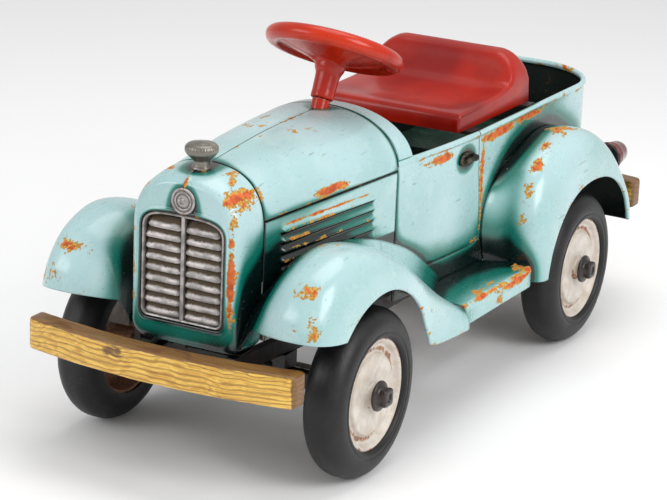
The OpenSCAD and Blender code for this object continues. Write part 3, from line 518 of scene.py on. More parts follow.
def hood_row(y, tuck):
    half, spring, top, power, foot = hood_shape(y)
    first = math.degrees(math.asin((max(0, foot - spring) / (top - spring)) ** (power / 2)))
    row = [(x, y, z) for x, z in arch(half - tuck, spring, top - tuck, power, first)]
    row = [(x, y, z - 0.9 * math.exp(-(x / 0.9) ** 2)) for x, y, z in row]
    (x, _, z) = row[0]
    return [(x - 1.7, y, z - 0.3), (x - 0.4, y, z - 0.25)] + row + [
        (-x + 0.4, y, z - 0.25), (-x + 1.7, y, z - 0.3)]


first, last = -NOSE_SEAM + 0.6, COWL_SEAM - 0.6
rows = [hood_row(first + off, tuck) for off, tuck in SEAM_ROLL]
rows += [hood_row(mix(first + 5, last - 5, i / 50), 0) for i in range(51)]
rows += [hood_row(last - off, tuck) for off, tuck in reversed(SEAM_ROLL)]


def hood_seam(x, y, z):
    half, spring, top, power, foot = hood_shape(y)
    return max(ease((first + 1.3 - y) / 1.3), ease((y - last + 1.3) / 1.3), math.exp(-(x / 0.75) ** 2),
               ease((foot + 0.7 - z) / 0.9))


def hood_edge(x, y, z):
    foot = hood_shape(y)[4]
    return 0.34 * math.exp(-((z - foot) / 4) ** 2) + 0.3 * math.exp(-((x - 1) / 4) ** 2)


finish(piece("hood", [rows], (BODY, INNER_SHADE), stands_for=["hood"], thick=SHEET,
             inside=(0, 60, 250)), hood_edge, hood_seam)

# ---- Hood sides ----
# Flat panels below the split line, each with five louvres lanced and pressed outward.
# They are riveted to the frame rails and close the engine bay.

lean = math.atan((102 - NOSE_HALF) / (COWL_SEAM + NOSE_SEAM))
run = (COWL_SEAM + NOSE_SEAM) / math.cos(lean) - 1.2
louvre_lows = [280 - 12 * i for i in range(5)]
louvre_from, louvre_to = 32, 214


def louvre(s, z):
    """How far the panel stands out at a distance along it and a height, and how much painted shade it
    takes: near black in the slot, a little over the louvre's face.
    """
    length = ease((s - louvre_from + 3) / 7) * ease((louvre_to + 3 - s) / 7)
    for low in louvre_lows:
        up = z - low
        if -2.4 < up < 8.4:
            if up > 1.25:
                return 4.6 * length * ease((8.4 - up) / 6.6) ** 0.8, 0.25 * length * ease(up / 8)
            if up > 0.95:
                return 4.4 * length, 0.3 * length
            return -3.0 * length * ease((up + 2.4) / 0.6), length
    return 0.0, 0.0


heights = [mix(166, 216, i / 12) for i in range(12)] + sorted(
    low + up for low in louvre_lows
    for up in (-3.2, -2.4, -2.1, -1.8, -0.6, 0.9, 1.0, 1.3, 2, 3, 4, 5.2, 6.4, 7.4, 8.4))
heights = sorted(set(round(z, 2) for z in heights)) + [291, 294, 296.5, 298.3, 299]
stations = sorted([mix(0.6, run, i / 60) for i in range(61)]
                  + [louvre_from - 3 + i for i in range(8)] + [louvre_to - 4 + i for i in range(8)])


def panel_point(s, z):
    rise_back = 4 * s / run * ease((z - 285) / 14)
    out = louvre(s, z)[0] - 1.6 * ease((z - 297.6) / 1.4) ** 2
    x = NOSE_HALF + s * math.sin(lean) + out * math.cos(lean)
    return (x, -NOSE_SEAM + s * math.cos(lean) - out * math.sin(lean), z + rise_back)


def panel_seam_and_shade(x, y, z):
    s = (y + NOSE_SEAM) / math.cos(lean)
    rise_back = 4 * s / run * ease((z - 285) / 14)
    # The louvres' painted shade joins the dark seam lines at the panel's ends and top.
    return max(louvre(s, z - rise_back)[1], ease((2 - s) / 1.6), ease((s - run + 1.6) / 1.6),
               ease((z - rise_back - 297.8) / 0.8))


def panel_edge(x, y, z):
    s = (y + NOSE_SEAM) / math.cos(lean)
    top = 0.85 * math.exp(-((z - 289) / 2.2) ** 2) * ease((s - 28) / 14) * ease((216 - s) / 14)
    return max(top * 0.75, 0.35 * (abs(louvre(s, z)[0]) > 3.6))


for side, mirrored in (("left", False), ("right", True)):
    grid = [[panel_point(s, z) for s in stations] for z in heights]
    made = piece(f"hood_side_{side}", [grid], (BODY, INNER_SHADE), stands_for=[f"hood_side_{side}"],
                 thick=1.4, inside=(-200, 60, 230), mirrored=mirrored, sharp=50)
    finish(made, lambda x, y, z: panel_edge(abs(x), y, z), lambda x, y, z: panel_seam_and_shade(abs(x), y, z))

# ---- Cowl ----
# The scuttle: a short arched pressing behind the hood, its rear edge rolled under for the hands.
# It is welded to the tub and its foot carries straight on into the tub's wall.


def cowl_row(y, tuck):
    top = 370 - 3 * (y - COWL_SEAM) / 32
    spring = 300
    first = math.degrees(math.asin(((RAIL - spring) / (top - spring)) ** 1.1))
    return [(x, y, z) for x, z in arch(body_half(y) - tuck, spring, top - tuck, 2.2, first)]


lip = [(228, 0), (229.4, 0.25), (230.6, 1.1), (231.1, 2.3), (230.7, 3.5), (229.6, 4.3), (228, 4.6)]
rows = [cowl_row(COWL_SEAM + off, tuck) for off, tuck in SEAM_ROLL]
rows += [cowl_row(y, 0) for y in (202, 205, 209, 213, 217, 221, 225)]
rows += [cowl_row(y, tuck) for y, tuck in lip]
finish(piece("cowl", [rows], (BODY, INNER_SHADE), stands_for=["cowl"], thick=1.6, inside=(0, 215, 250)),
       lambda x, y, z: 0.36 * math.exp(-((y - 230) / 2) ** 2),
       lambda x, y, z: max(ease((COWL_SEAM + 1.3 - y) / 1.3), 0.6 * ease((y - 231) / 0.5)))

# ---- Body tub ----
# Sides and rounded tail in one wrapped sheet with a wired top rail. The doors don't open: their
# outline is a groove pressed into the sheet, and it crosses the rail behind each door.

door_line = curve([(383, 318), (387, 280), (391, 245), (395, 212), (397, 195), (395, 181),
                   (388, 173), (376, 170.5), (340, 170), (271, 170), (212, 170)], 10)


def door_groove(y, z):
    """Depth of the door's pressed outline, from 0 to 1."""
    if not 205 < y < 402 or z < 164:
        return 0.0
    near = min((p.x - y) ** 2 + (p.y - z) ** 2 for p in door_line_even)
    return math.exp(-near / 1.1)


door_line_even = even(door_line, 420)
plan = [(body_half(y), y) for y in
        [COWL_SEAM + off for off in (0.2, 0.9, 2)] + [mix(203, 379, i / 44) for i in range(44)]
        + [mix(379, 401, i / 24) for i in range(24)] + [mix(401, 684, i / 62) for i in range(62)]]
plan += arc((TUB_HALF - TUB_CORNER, TUB_REAR - TUB_CORNER), TUB_CORNER, TUB_CORNER, 0, 90, 40)
plan += [(16 - i * 4, TUB_REAR) for i in range(1, 4)] + [(0, TUB_REAR)]
walls = [(0, z) for z in [mix(SILL, 165, i / 6) for i in range(6)]
         + [mix(165, 176, i / 12) for i in range(12)] + [mix(176, 304, i / 30) for i in range(31)]]
walls += [(0, 306.2), (0.1, 307.6), (0.5, 308.4)]
bead = arc((-1.5, 312), 3.6, 4, -45, 225, 16)
wall_end, bead_end = len(walls), len(walls) + len(bead)
section = walls + bead + [(-2.4, 306)] + [(-2.4, mix(304, SILL, i / 12)) for i in range(13)]


def tub_column(i, flip=1):
    """One section of the wall at a point of its plan."""
    x, y = plan[i]
    a, b = Vector(plan[max(i - 1, 0)]), Vector(plan[min(i + 1, len(plan) - 1)])
    along = (b - a).normalized()
    normal = Vector((along.y, -along.x))
    if i == len(plan) - 1:
        normal = Vector((0, 1))
    rolled, out = ease((y - 230) / 7), []
    for k, (d, z) in enumerate(section):
        if wall_end <= k < bead_end:  # the rail melts into the plain wall under the cowl
            t = (k - wall_end) / (bead_end - wall_end - 1)
            flat = (-2.4 * ease((t - 0.4) / 0.2), mix(308.6, RAIL, min(1, t * 2.4)))
            d, z = mix(flat[0], d, rolled), mix(flat[1], z, rolled)
        if y < 240 and z > 300 and k < bead_end:
            d -= (1 - rolled) * x * (1 - (1 - ((z - 300) / 68) ** 2.2) ** (1 / 2.2))
        if k < bead_end:
            d -= 1.3 * door_groove(y, z)
        if i < 2 and k < wall_end:
            d -= (1.3, 0.4)[i]
        out.append((flip * (x + d * normal.x), y + d * normal.y, z))
    return out


columns = [tub_column(i) for i in range(len(plan))]
columns += [tub_column(i, -1) for i in range(len(plan) - 2, -1, -1)]
tub = piece("body_tub", [columns], (BODY, INNER_SHADE), stands_for=["body_tub"], closed=True)
# The tub's inside faces below the rail take the near-black painted shade.
for polygon in tub.data.polygons:
    low = min(tub.data.vertices[v].co.z for v in polygon.vertices) / MM
    flat = Vector((polygon.center.x, polygon.center.y - AXLE_Y)) / MM
    limit = body_half(flat.y) if flat.y < TUB_REAR - TUB_CORNER else TUB_CORNER
    reach = abs(flat.x) if flat.y < TUB_REAR - TUB_CORNER else (
        Vector((max(abs(flat.x) - 16, 0), flat.y - TUB_REAR + TUB_CORNER))).length
    if low < 307 and reach < limit - 1.9:
        polygon.material_index = 1


def tub_seam_and_shade(x, y, z):
    groove = door_groove(y, z)
    # A light painted shade under the top rail; the door groove and the cowl seam are dark lines.
    under_rail = 0.35 * math.exp(-((z - 307.6) / 0.9) ** 2) * ease((y - 236) / 6)
    return max(min(1.0, groove * 1.15), ease((COWL_SEAM + 1.0 - y) / 1.0), under_rail)


def tub_edge(x, y, z):
    rail = 0.4 * math.exp(-((z - 309) / 3.5) ** 2) * ease((y - 232) / 10)
    by_door = 0.42 * min(1.0, max(0.0, door_groove(y - 2.5, z) + door_groove(y + 2.5, z)))
    return max(rail, by_door, 0.4 * ease((SILL + 8 - z) / 8))


finish(tub, tub_edge, tub_seam_and_shade)

# ---- Fenders ----
# Deep-drawn steel wings over the wheels, their lips curled round a wire, welded to the body.
# Each is swept through three matching lines: the arch's lip, the crown, and the foot on the body.


def fender_row(lip_at, crown, root, front):
    """One section of a fender, from its curled lip over the crown to its foot."""
    lip_at, crown, root = Vector(lip_at), Vector(crown), Vector(root)
    out = (crown - lip_at).normalized()
    wide, inner, row = 193, 150, []
    for turn in range(200, 0, -25):
        a = math.radians(turn)
        curl = lip_at - out * 2.3 * math.sin(a)
        row.append((wide - 2.3 + 2.3 * math.cos(a), *curl))
    dome = []
    for i in range(61):
        a = math.radians(90 * i / 60)
        flat = lip_at.lerp(crown, math.sin(a) ** 0.75)
        dome.append((mix(inner, wide, max(math.cos(a), 0) ** 0.75), *flat))
    foot = max(88, body_half(root.x) + mix(5.0, 0.4, ease((root.x - 149) / 20)))
    for i in range(1, 41):
        t = i / 40
        flat = crown.lerp(root, t * t)
        dome.append((mix(inner, foot, t), *flat))
    row += [tuple(p) for p in even(dome, 44)]
    if front and root.x < 60:  # the inner flange closes the gap beside the nose
        near = body_half(root.x) + 0.5
        for t in (0.25, 0.5, 0.75, 1):
            row.append((mix(foot, near, t), root.x, root.y - 16 * t - 10 * t * t))
    elif front:
        row += [row[-1]] * 4
    return row


def arch_point(y, radius, turn):
    a = math.radians(turn)
    return (y + radius * math.cos(a), AXLE_Z + radius * math.sin(a))


WHEELBASE = 572
front_lips = [arch_point(0, 124, a) for a in (134, 122, 108, 92, 76, 58, 40, 20)] + [
    (137, 123), (226, 116)]
front_crowns = [(-139, 196), (-131, 227), (-101, 260), (-50, 278), (4, 272), (56, 250), (102, 222),
                (146, 194), (188, 167), (228, 143.2)]
front_roots = [(-112, 190), (-92, 218), (-66, 236), (-26, 248), (22, 252), (74, 248), (124, 238),
               (178, 221), (236, 194), (304, 143.2)]
rear_lips = [arch_point(WHEELBASE, mix(120, 147, ease((i - 5) / 5)), mix(172, 13, i / 10))
             for i in range(11)]
rear_crowns = [(424, 118), (419, 165), (428, 215), (456, 255), (504, 279), (560, 287), (618, 275),
               (668, 244), (706, 200), (736, 150), (730, 128)]
rear_roots = [(426, 118), (404, 168), (413, 218), (446, 247), (494, 266), (546, 280), (596, 279),
              (645, 262), (686, 226), (716, 176), (718, 131)]


def near_line(points, y, z, reach):
    return math.exp(-min((p.x - y) ** 2 + (p.y - z) ** 2 for p in points) / reach ** 2)


for end, lines in (("front", (front_lips, front_crowns, front_roots)),
                   ("rear", (rear_lips, rear_crowns, rear_roots))):
    swept = [curve(line, 11) for line in lines]
    grid = [fender_row(*points, end == "front") for points in zip(*swept)]
    lip_line = swept[0][::3]
    middle = 0 if end == "front" else WHEELBASE

    def lip_wear(x, y, z, line=lip_line):
        return 0.4 * near_line(line, y, z, 5) * ease((abs(x) - 178) / 12)

    for side, mirrored in (("left", False), ("right", True)):
        made = piece(f"{end}_fender_{side}", [grid], (BODY, INNER_SHADE), thick=2.0, mirrored=mirrored,
                     stands_for=[f"{end}_fender_{side}"], inside=(120, middle, 120))
        finish(made, lip_wear)

# ---- Running boards ----
# Folded steel steps between the fenders, with a deep outer lip and a rounded rear corner. The front
# end runs on under the front fender's tail, and the step is spot-welded to the tub's foot.

FRONT_OUT, FRONT_IN, BACK_OUT, BACK_IN = 229, 232, WHEELBASE - 146, WHEELBASE - 170
BOARD_Z, BOARD_HALF, LIP_LOW = 143, 186, 116


def board_row(u):
    outer, inner = mix(FRONT_OUT, BACK_OUT, u), mix(FRONT_IN, BACK_IN, u)
    left = BACK_OUT - outer
    edge = BOARD_HALF - (14 - math.sqrt(max(0, 196 - (14 - left) ** 2)) if left < 14 else 0)
    flat = [(mix(body_half(inner) + 0.3, edge - 7, t), mix(inner, outer, t), BOARD_Z)
            for t in [i / 16 for i in range(17)]]
    turn = [(x, outer, z) for x, z in arc((edge - 7, BOARD_Z - 7), 7, 7, 82, 0, 7)]
    drop = [(edge, outer, mix(BOARD_Z - 7, LIP_LOW + 2, i / 5)) for i in range(1, 6)]
    curl = [(x, outer, z) for x, z in arc((edge - 2, LIP_LOW + 2), 2, 2, -20, -180, 5)]
    return flat + turn + drop + curl


steps = [i / 44 for i in range(42)] + [0.962, 0.974, 0.984, 0.992, 0.997, 1.0]
grid = [board_row(u) for u in steps]
for side, mirrored in (("left", False), ("right", True)):
    made = piece(f"running_board_{side}", [grid], (BODY, INNER_SHADE), mirrored=mirrored,
                 stands_for=[f"running_board_{side}"], thick=2.0, inside=(120, 330, 100))
    finish(made, lambda x, y, z: 0.45 * math.exp(-((abs(x) - 184) / 5) ** 2)
           * math.exp(-((z - 140) / 5) ** 2) + 0.2 * ease((z - 138) / 4) * ease((abs(x) - 150) / 30))

# ---- Bumpers ----
# Two bowed planks of varnished pine, front and rear, screwed to straps under the frame.
# The edges are rounded by hand; the top edge and the ends have weathered dark brown, and the bottom
# edge and the face towards the car are coloured darker.

PLANK_HALF, PLANK_T, PLANK_H, PLANK_Z, PLANK_BOW = 174, 28, 38, 131, 20


def varnished_pine():
    made, at = begin("pine")
    along = stretched(at, 0.045, 0.8, 1.0)
    bend = speckle(at, 60, 2) * 22
    rings = speckle(along + bend, 3.4, 4, 0.6)
    lines = Wire.node("TexWave", {"Vector": along + bend * 0.6, "Scale": 0.055, "Distortion": 7.0,
                                  "Detail": 3.0}, wave_type="BANDS", bands_direction="Z",
                      out="Fac")
    tone = over(rise(rings, 0.3, 0.7), paint(240, 198, 88), paint(204, 150, 48))
    tone = over(rise(lines, 0.55, 0.95) * 0.55, tone, paint(120, 76, 20))
    pores = rise(speckle(along, 0.9, 2), 0.62, 0.72)
    tone = over(pores * 0.5, tone, paint(92, 54, 14))
    stain_and_darkening = stored()[0]
    cloud = speckle(at, 14, 4)
    dark = rise(stain_and_darkening + (cloud - 0.5) * 0.5 + (rings - 0.5) * 0.35, 0.42, 0.62)
    tone = over(dark * 0.85, tone, over(rings, paint(112, 62, 22), paint(58, 28, 10)))
    return close(made, height=rings * 0.6 - pores * 0.6 + cloud * 0.3, depth=0.5, Base_Color=tone,
                 Roughness=0.36 + (rings - 0.5) * 0.25 + dark * 0.15, Coat_Weight=0.35,
                 Coat_Roughness=0.18)


PINE = varnished_pine()


def plank_section(x, reach, flip):
    """Rounded rectangle across the plank, at a distance from its middle."""
    end = PLANK_HALF - abs(x)
    pinch = 1 - (1 - min(end, 9) / 9) ** 3
    deep = PLANK_T / 2 * mix(0.55, 1, max(pinch, 0) ** 0.5)
    tall = PLANK_H / 2 * mix(0.86, 1, max(pinch, 0) ** 0.5)
    middle = PLANK_BOW * (x / PLANK_HALF) ** 2 + PLANK_T / 2
    rounds = []
    for cy, cz, first in ((1, 1, 0), (-1, 1, 90), (-1, -1, 180), (1, -1, 270)):
        r = 4.2 + 1.5 * noise(Vector((x / 30, cy * 3 + reach, cz * 5)))
        rounds.append(arc((cy * (deep - r), cz * (tall - r)), r, r, first, first + 90, 5))
    outline = []
    for these, following in zip(rounds, rounds[1:] + rounds[:1]):
        a, b = these[-1], following[0]
        outline += these + [(mix(a[0], b[0], k / 5), mix(a[1], b[1], k / 5)) for k in range(1, 5)]
    return [(x, flip * (middle + y - reach), PLANK_Z + PLANK_H / 2 + z) for y, z in outline]


FRONT_REACH, REAR_REACH = 188, TUB_REAR + 4 + PLANK_T
xs = sorted(set([round(mix(-165, 165, i / 90), 2) for i in range(91)]
                + [s * (PLANK_HALF - e) for s in (-1, 1) for e in (0, 0.5, 1.4, 3, 5, 7)]))
for end, reach, flip in (("front", FRONT_REACH, 1), ("rear", REAR_REACH, -1)):
    made = piece(f"{end}_bumper", [[plank_section(x, reach, flip) for x in xs]], PINE,
                 stands_for=[f"{end}_bumper"], closed=True, capped=True)
    middle = PLANK_Z + PLANK_H / 2

    def stain_and_darkening(x, y, z, reach=reach):
        top = 0.75 * ease((z - PLANK_Z - PLANK_H + 5) / 4)
        # The bottom edge and the face towards the car are coloured darker as well.
        foot = 0.6 * ease((PLANK_Z + 3 - z) / 3)
        ends = 0.7 * ease((abs(x) - 165) / 8)
        back_face = 0.5 * (abs(y) < reach - PLANK_T + 1 - PLANK_BOW * (x / PLANK_HALF) ** 2)
        patch = 0.72 * math.exp(-(((x + 47) / 26) ** 2) - ((z - 158) / 13) ** 2)
        return max(top, foot, ends, back_face, patch)

    finish(made, stain_and_darkening, base=0.05)

# ---- Plain finishes ----
# Frame rails, axles, rods and brackets are bar and strap from stock: black chassis paint on what
# doesn't turn, bare oiled steel on what does. The parts keep their shape and get broken edges.


def stock_finish(name, low, high, metallic, rough, spot, spot_share, coat=0.0, grain=7.0):
    made, at = begin(name)
    cloud, fine = speckle(at, 30, 4), speckle(at, grain, 4)
    tone = over(rise(cloud, 0.35, 0.68), paint(*low), paint(*high))
    grime = rise(fine + (cloud - 0.5) * 0.6, 0.56, 0.66)
    tone = over(grime * spot_share, tone, paint(*spot))
    return close(made, height=fine, depth=0.25, Base_Color=tone, Metallic=metallic * (1 - grime * 0.6),
                 Roughness=rough + (fine - 0.5) * 0.25 + grime * 0.15, Coat_Weight=coat * (1 - grime),
                 Coat_Roughness=0.15)


FINISHES = {
    "frame_black": stock_finish("frame_black", (14, 15, 16), (30, 31, 32), 0.0, 0.48,
                                (82, 48, 28), 0.5),
    "steel": stock_finish("steel", (120, 118, 114), (160, 157, 151), 0.9, 0.38, (84, 58, 38), 0.6),
    "dark_metal": stock_finish("dark_metal", (34, 34, 33), (66, 62, 56), 0.75, 0.42,
                               (120, 96, 66), 0.5, grain=4),
    "bush_plastic": stock_finish("bush_plastic", (182, 164, 128), (206, 190, 158), 0.0, 0.5,
                                 (96, 76, 50), 0.4),
    "block_rubber": stock_finish("block_rubber", (16, 16, 17), (30, 30, 31), 0.0, 0.72,
                                 (70, 66, 60), 0.4),
    "floor_enamel": stock_finish("floor_enamel", (6, 34, 24), (14, 54, 40), 0.0, 0.5,
                                 (60, 62, 44), 0.35),
    "cap_metal": stock_finish("cap_metal", (128, 124, 116), (176, 172, 162), 0.85, 0.36,
                              (92, 72, 46), 0.7, grain=5),
    "cap_plastic": stock_finish("cap_plastic", (20, 13, 11), (36, 24, 20), 0.0, 0.36,
                                (82, 50, 34), 0.35, coat=0.3, grain=4),
}


def coat_part(node, material):
    """Gives a stock part its finish and breaks its sharp edges."""
    node.data.materials.clear()
    node.data.materials.append(material)
    broken = node.modifiers.new("broken_edges", "BEVEL")
    broken.width, broken.segments, broken.limit_method = 0.5 * MM, 2, "ANGLE"
    broken.angle_limit = math.radians(40)


for part in frame["record"]["subparts"]:
    node = frame["nodes"][part["node"]]
    if not node.hide_render and part["material_slot"] in FINISHES and part["node"] != "column_bush":
        coat_part(node, FINISHES[part["material_slot"]])

# ---- Grille ----
# A cast frame with a centre bar and nine slats to a side, each a curved blade with a thick lower
# lip. Painted dull silver, going brown and dark further back in the recesses: brown dirt and painted
# shade.


def silver_dirt_and_shade():
    made, at = begin("grille_metal")
    cloud, fine = speckle(at, 11, 4), speckle(at, 2.6, 4)
    dirt_and_shade = stored()[0]
    tone = over(rise(cloud, 0.35, 0.65), paint(136, 132, 130), paint(186, 180, 178))
    # Brown dirt and painted shade, darker the deeper a point lies in the grille.
    wash = rise(dirt_and_shade + (cloud - 0.5) * 0.55 + (fine - 0.5) * 0.35, 0.28, 0.62)
    tone = over(wash * 0.9, tone, over(cloud, paint(92, 70, 34), paint(44, 34, 22)))
    return close(made, height=fine + cloud, depth=0.25, Base_Color=tone, Metallic=0.55,
                 Roughness=0.4 + wash * 0.3 + (fine - 0.5) * 0.2)


SILVER = silver_dirt_and_shade()
frame_rings = [upright(grille_plan(d), y) for d, y in
               [(0.3, -113), (0.3, -119), (0.8, -121), (1.8, -121.8), (3, -121.2), (3.5, -119.6),
                (3.6, -113)]]
slat_count, rim_w = 9, 3.5
pitch = (GRILLE_TOP - GRILLE_LOW - 2 * rim_w - 6) / slat_count
outline = grille_plan(rim_w - 0.2)


def half_at(z):
    """Half width of the opening inside its rim, at a height."""
    best = 0.0
    for (x1, z1), (x2, z2) in zip(outline, outline[1:] + outline[:1]):
        if min(z1, z2) <= z <= max(z1, z2) and z1 != z2:
            best = max(best, abs(mix(x1, x2, (z - z1) / (z2 - z1))))
    return best


slats = []
blade = [(-113.4, 12.0), (-114.6, 10.6), (-116.4, 8.4), (-118.0, 5.4), (-119.4, 2.4),
         (-120.2, 0.6), (-120.3, -0.9), (-119.6, -1.9), (-118.5, -2.0), (-117.8, -1.2),
         (-117.2, 1.6), (-116.0, 4.8), (-114.6, 7.6), (-113.2, 9.6), (-112.4, 11.2)]
for i in range(slat_count):
    low = GRILLE_LOW + rim_w + 3.2 + pitch * i
    for side in (-1, 1):
        wide = min(half_at(low), half_at(min(low + pitch * 0.6, GRILLE_TOP - 4)))
        spans = [2.2, 3.4, 5.2] + [mix(8, wide - 5, k / 7) for k in range(8)] + [
            wide - 3, wide - 1.2, wide - 0.4]
        grid = []
        for x in spans:
            end = min(x - 2.2, wide - 0.4 - x)
            sink = 2.6 * (1 - min(1, end / 5)) ** 2
            shrink = mix(0.72, 1, min(1, end / 5) ** 0.5)
            sag = 0.5 * noise(Vector((x / 18, i * 3.1, side * 2)))
            grid.append([(side * x, y + sink * (y < -113), low + 4.5 + (z - 4.5) * shrink + sag)
                         for y, z in blade])
        slats.append(grid)
bar = [[(x, y, z) for x, y in ((-2.4, -113), (-2.2, -120.6), (-1.1, -121.8), (0, -122.1),
                               (1.1, -121.8), (2.2, -120.6), (2.4, -113))]
       for z in [mix(GRILLE_LOW + 1.5, GRILLE_TOP - 1.5, k / 14) for k in range(15)]]
grille = piece("grille", [bar] + slats, SILVER, stands_for=["grille"],
               closed=True, capped=True)
rim = piece("grille_rim", [frame_rings], SILVER, closed=True)
# Darker further back from the front lips: brown dirt and painted shade in the recesses.
for made in (grille, rim):
    finish(made, lambda x, y, z: ease((y + 121) / 5) * 0.85, base=0.12)

# ---- Badge ----
# A round cast medallion with raised rings and a plain turned boss, pinned above the grille.

badge_low, badge_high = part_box("badge")
badge_z = (badge_low.z + badge_high.z) / 2 / MM


def turned(profile, centre, axis, steps=96):
    """Rows of a turned shape. profile is (radius, distance along the axis)."""
    axis = Vector(axis).normalized()
    side = axis.orthogonal().normalized()
    up = axis.cross(side)
    return [[Vector(centre) + axis * along + radius * (side * math.cos(2 * math.pi * k / steps)
                                                       + up * math.sin(2 * math.pi * k / steps))
             for k in range(steps)] for radius, along in profile]


medal = [(0, 3.0), (1.6, 2.9), (2.4, 2.2), (3.4, 2.0), (4.3, 3.1), (5.2, 3.4), (6.2, 3.0),
         (6.9, 1.7), (8.4, 1.4), (9.4, 2.5), (10.4, 2.6), (11.0, 1.6), (12.4, 1.5), (13.2, 2.6),
         (14.4, 2.8), (15.2, 2.0), (15.5, 0.2)]
rows = turned(medal, (0, -NOSE_FRONT - 0.4, badge_z), (0, -1, 0))
made = piece("badge", [rows], SILVER, stands_for=["badge"], closed=True, sharp=60)
# Brown dirt and painted shade in the grooves between the rings and at the back edge; the middle stays
# clean.
finish(made, lambda x, y, z: 0.85 * ease((y + NOSE_FRONT + 2.6) / 1.2)
       * (math.hypot(x, z - badge_z) > 2), base=0.1)

# ---- Radiator cap ----
# A mushroom cap cast in pewter with a coined edge, screwed into the top of the shell.

cap_low, cap_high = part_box("radiator_cap")
cap_z = cap_low.z / MM
cap_y = ((cap_low.y + cap_high.y) / 2 - AXLE_Y) / MM
mushroom = curve([(11.5, -1.5), (11, 0.5), (9.6, 2), (9.6, 8), (12.5, 10.5), (17, 15), (18.8, 18),
                  (19, 21), (18.4, 23.5), (16, 26.1), (12.5, 27.3), (11, 26.8), (8, 27.7),
                  (4, 28.7), (0, 29)], 4)
rows = turned(mushroom, (0, cap_y, cap_z), (0, 0, 1), 144)
for row in rows:
    for k, point in enumerate(row):
        if 17 < point.z - cap_z < 24.5:
            middle = Vector((0, cap_y, point.z))
            row[k] = middle + (point - middle) * (1 - 0.02 * (k % 4 < 2))
piece("radiator_cap", [rows], FINISHES["cap_metal"], stands_for=["radiator_cap"],
      closed=True)

# ---- Seat ----
# One thick moulding in glossy deep red: a shallow dished squab that sweeps up into the back,
# with flat sides. It is screwed down on two straps across the tub.


def moulded_red(name, light, deep, rough):
    made, at = begin(name)
    broad, cloud, fine = speckle(at, 120, 2), speckle(at, 26, 4), speckle(at, 3.5, 2)
    tone = over(rise(broad, 0.35, 0.65), paint(*light), paint(*deep))
    tone = over(rise(cloud, 0.55, 0.75) * 0.35, tone, paint(deep[0] * 0.72, deep[1] * 0.6, deep[2]))
    streak = stretched(at, 0.25, 1.0, 1.0)
    rub = rise(speckle(streak, 4.5, 4, 0.6), 0.68, 0.8)
    return close(made, height=fine * 0.6 + cloud * 0.5 - rub * 0.5, depth=0.2, Base_Color=tone,
                 Roughness=rough + (cloud - 0.5) * 0.2 + rub * 0.2, Coat_Weight=0.22 - rub * 0.15,
                 Coat_Roughness=0.12, Specular_IOR_Level=0.32)


SEAT_RED = moulded_red("seat_red", (168, 26, 3), (132, 10, 1), 0.34)
seat_low, seat_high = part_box("seat")
SEAT_HALF = seat_high.x / MM
SEAT_FRONT = (seat_low.y - AXLE_Y) / MM
SEAT_RISE = (seat_high.z - seat_low.z) / MM
side_line = curve([(0, 0), (0.4, 12), (3.2, 20.5), (12, 23.4), (60, 24), (118, 26), (143, 32),
                   (158, 47), (168, 63), (176, SEAT_RISE - 1), (187, SEAT_RISE), (197, 60),
                   (203, 38), (206.4, 10), (207, 0)], 7)
seat_corner, edge_r = 36, 4.0


def seat_section(x):
    off = abs(x)
    reach = off - (SEAT_HALF - seat_corner)
    top = SEAT_RISE - (seat_corner - math.sqrt(max(0, seat_corner ** 2 - reach ** 2))
                       if reach > 0 else 0)
    near = off - (SEAT_HALF - edge_r)
    tuck = edge_r - math.sqrt(max(0, edge_r ** 2 - near ** 2)) if near > 0 else 0
    row = []
    for i, p in enumerate(side_line):
        a, b = side_line[max(i - 1, 0)], side_line[min(i + 1, len(side_line) - 1)]
        normal = Vector((b.y - a.y, a.x - b.x)).normalized()
        lift = p.y if p.y < 30 else 30 + (p.y - 30) * (top - 30) / (SEAT_RISE - 30)
        hollow = 3.4 * ease((p.x - 8) / 40) * ease((172 - p.x) / 30) * ease((p.y - 15) / 5)
        hollow *= ease((SEAT_HALF - 7 - off) / 34)
        wrap = 9 * ease((p.y - 26) / 30) * (off / SEAT_HALF) ** 3 * (p.x < 180)
        y, z = p.x + normal.x * tuck - wrap, lift + normal.y * tuck - hollow
        row.append((x, SEAT_FRONT + y, RAIL + max(z, 0)))
    return row


xs = sorted(set([round(mix(-SEAT_HALF + 7, SEAT_HALF - 7, i / 60), 3) for i in range(61)]
                + [s * (SEAT_HALF - e) for s in (-1, 1) for e in (0, 0.25, 0.8, 1.8, 3, 4.2, 5.5)]))
piece("seat", [[seat_section(x) for x in xs]], SEAT_RED, stands_for=["seat"],
      closed=True, capped=True, sharp=50)

# ---- Steering wheel ----
# Rim, dished web, three broad ribs and the long tapered hub are one moulding in gloss red-orange;
# the hub is pinned to the shaft. The ribs flow into rim and hub with wide fillets.

WHEEL_RED = moulded_red("red_enamel", (204, 48, 2), (164, 22, 0), 0.26)
coat_part(frame["nodes"]["column_bush"], WHEEL_RED)
steer = next(j for j in frame["joints"] if j["name"] == "steering_turn")
tilt = math.atan2(steer["axis"][1], steer["axis"][2])
hub = Vector((0, 213.5, 434))
TUBE_R, HUB_DROP = 10.5, 62
RIM_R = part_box("steering_wheel")[1].x / MM - TUBE_R


def on_shaft(point):
    """A point of the steering wheel, z up along its shaft, as it sits in the car."""
    return hub + Matrix.Rotation(-tilt, 3, "X") @ Vector(point)


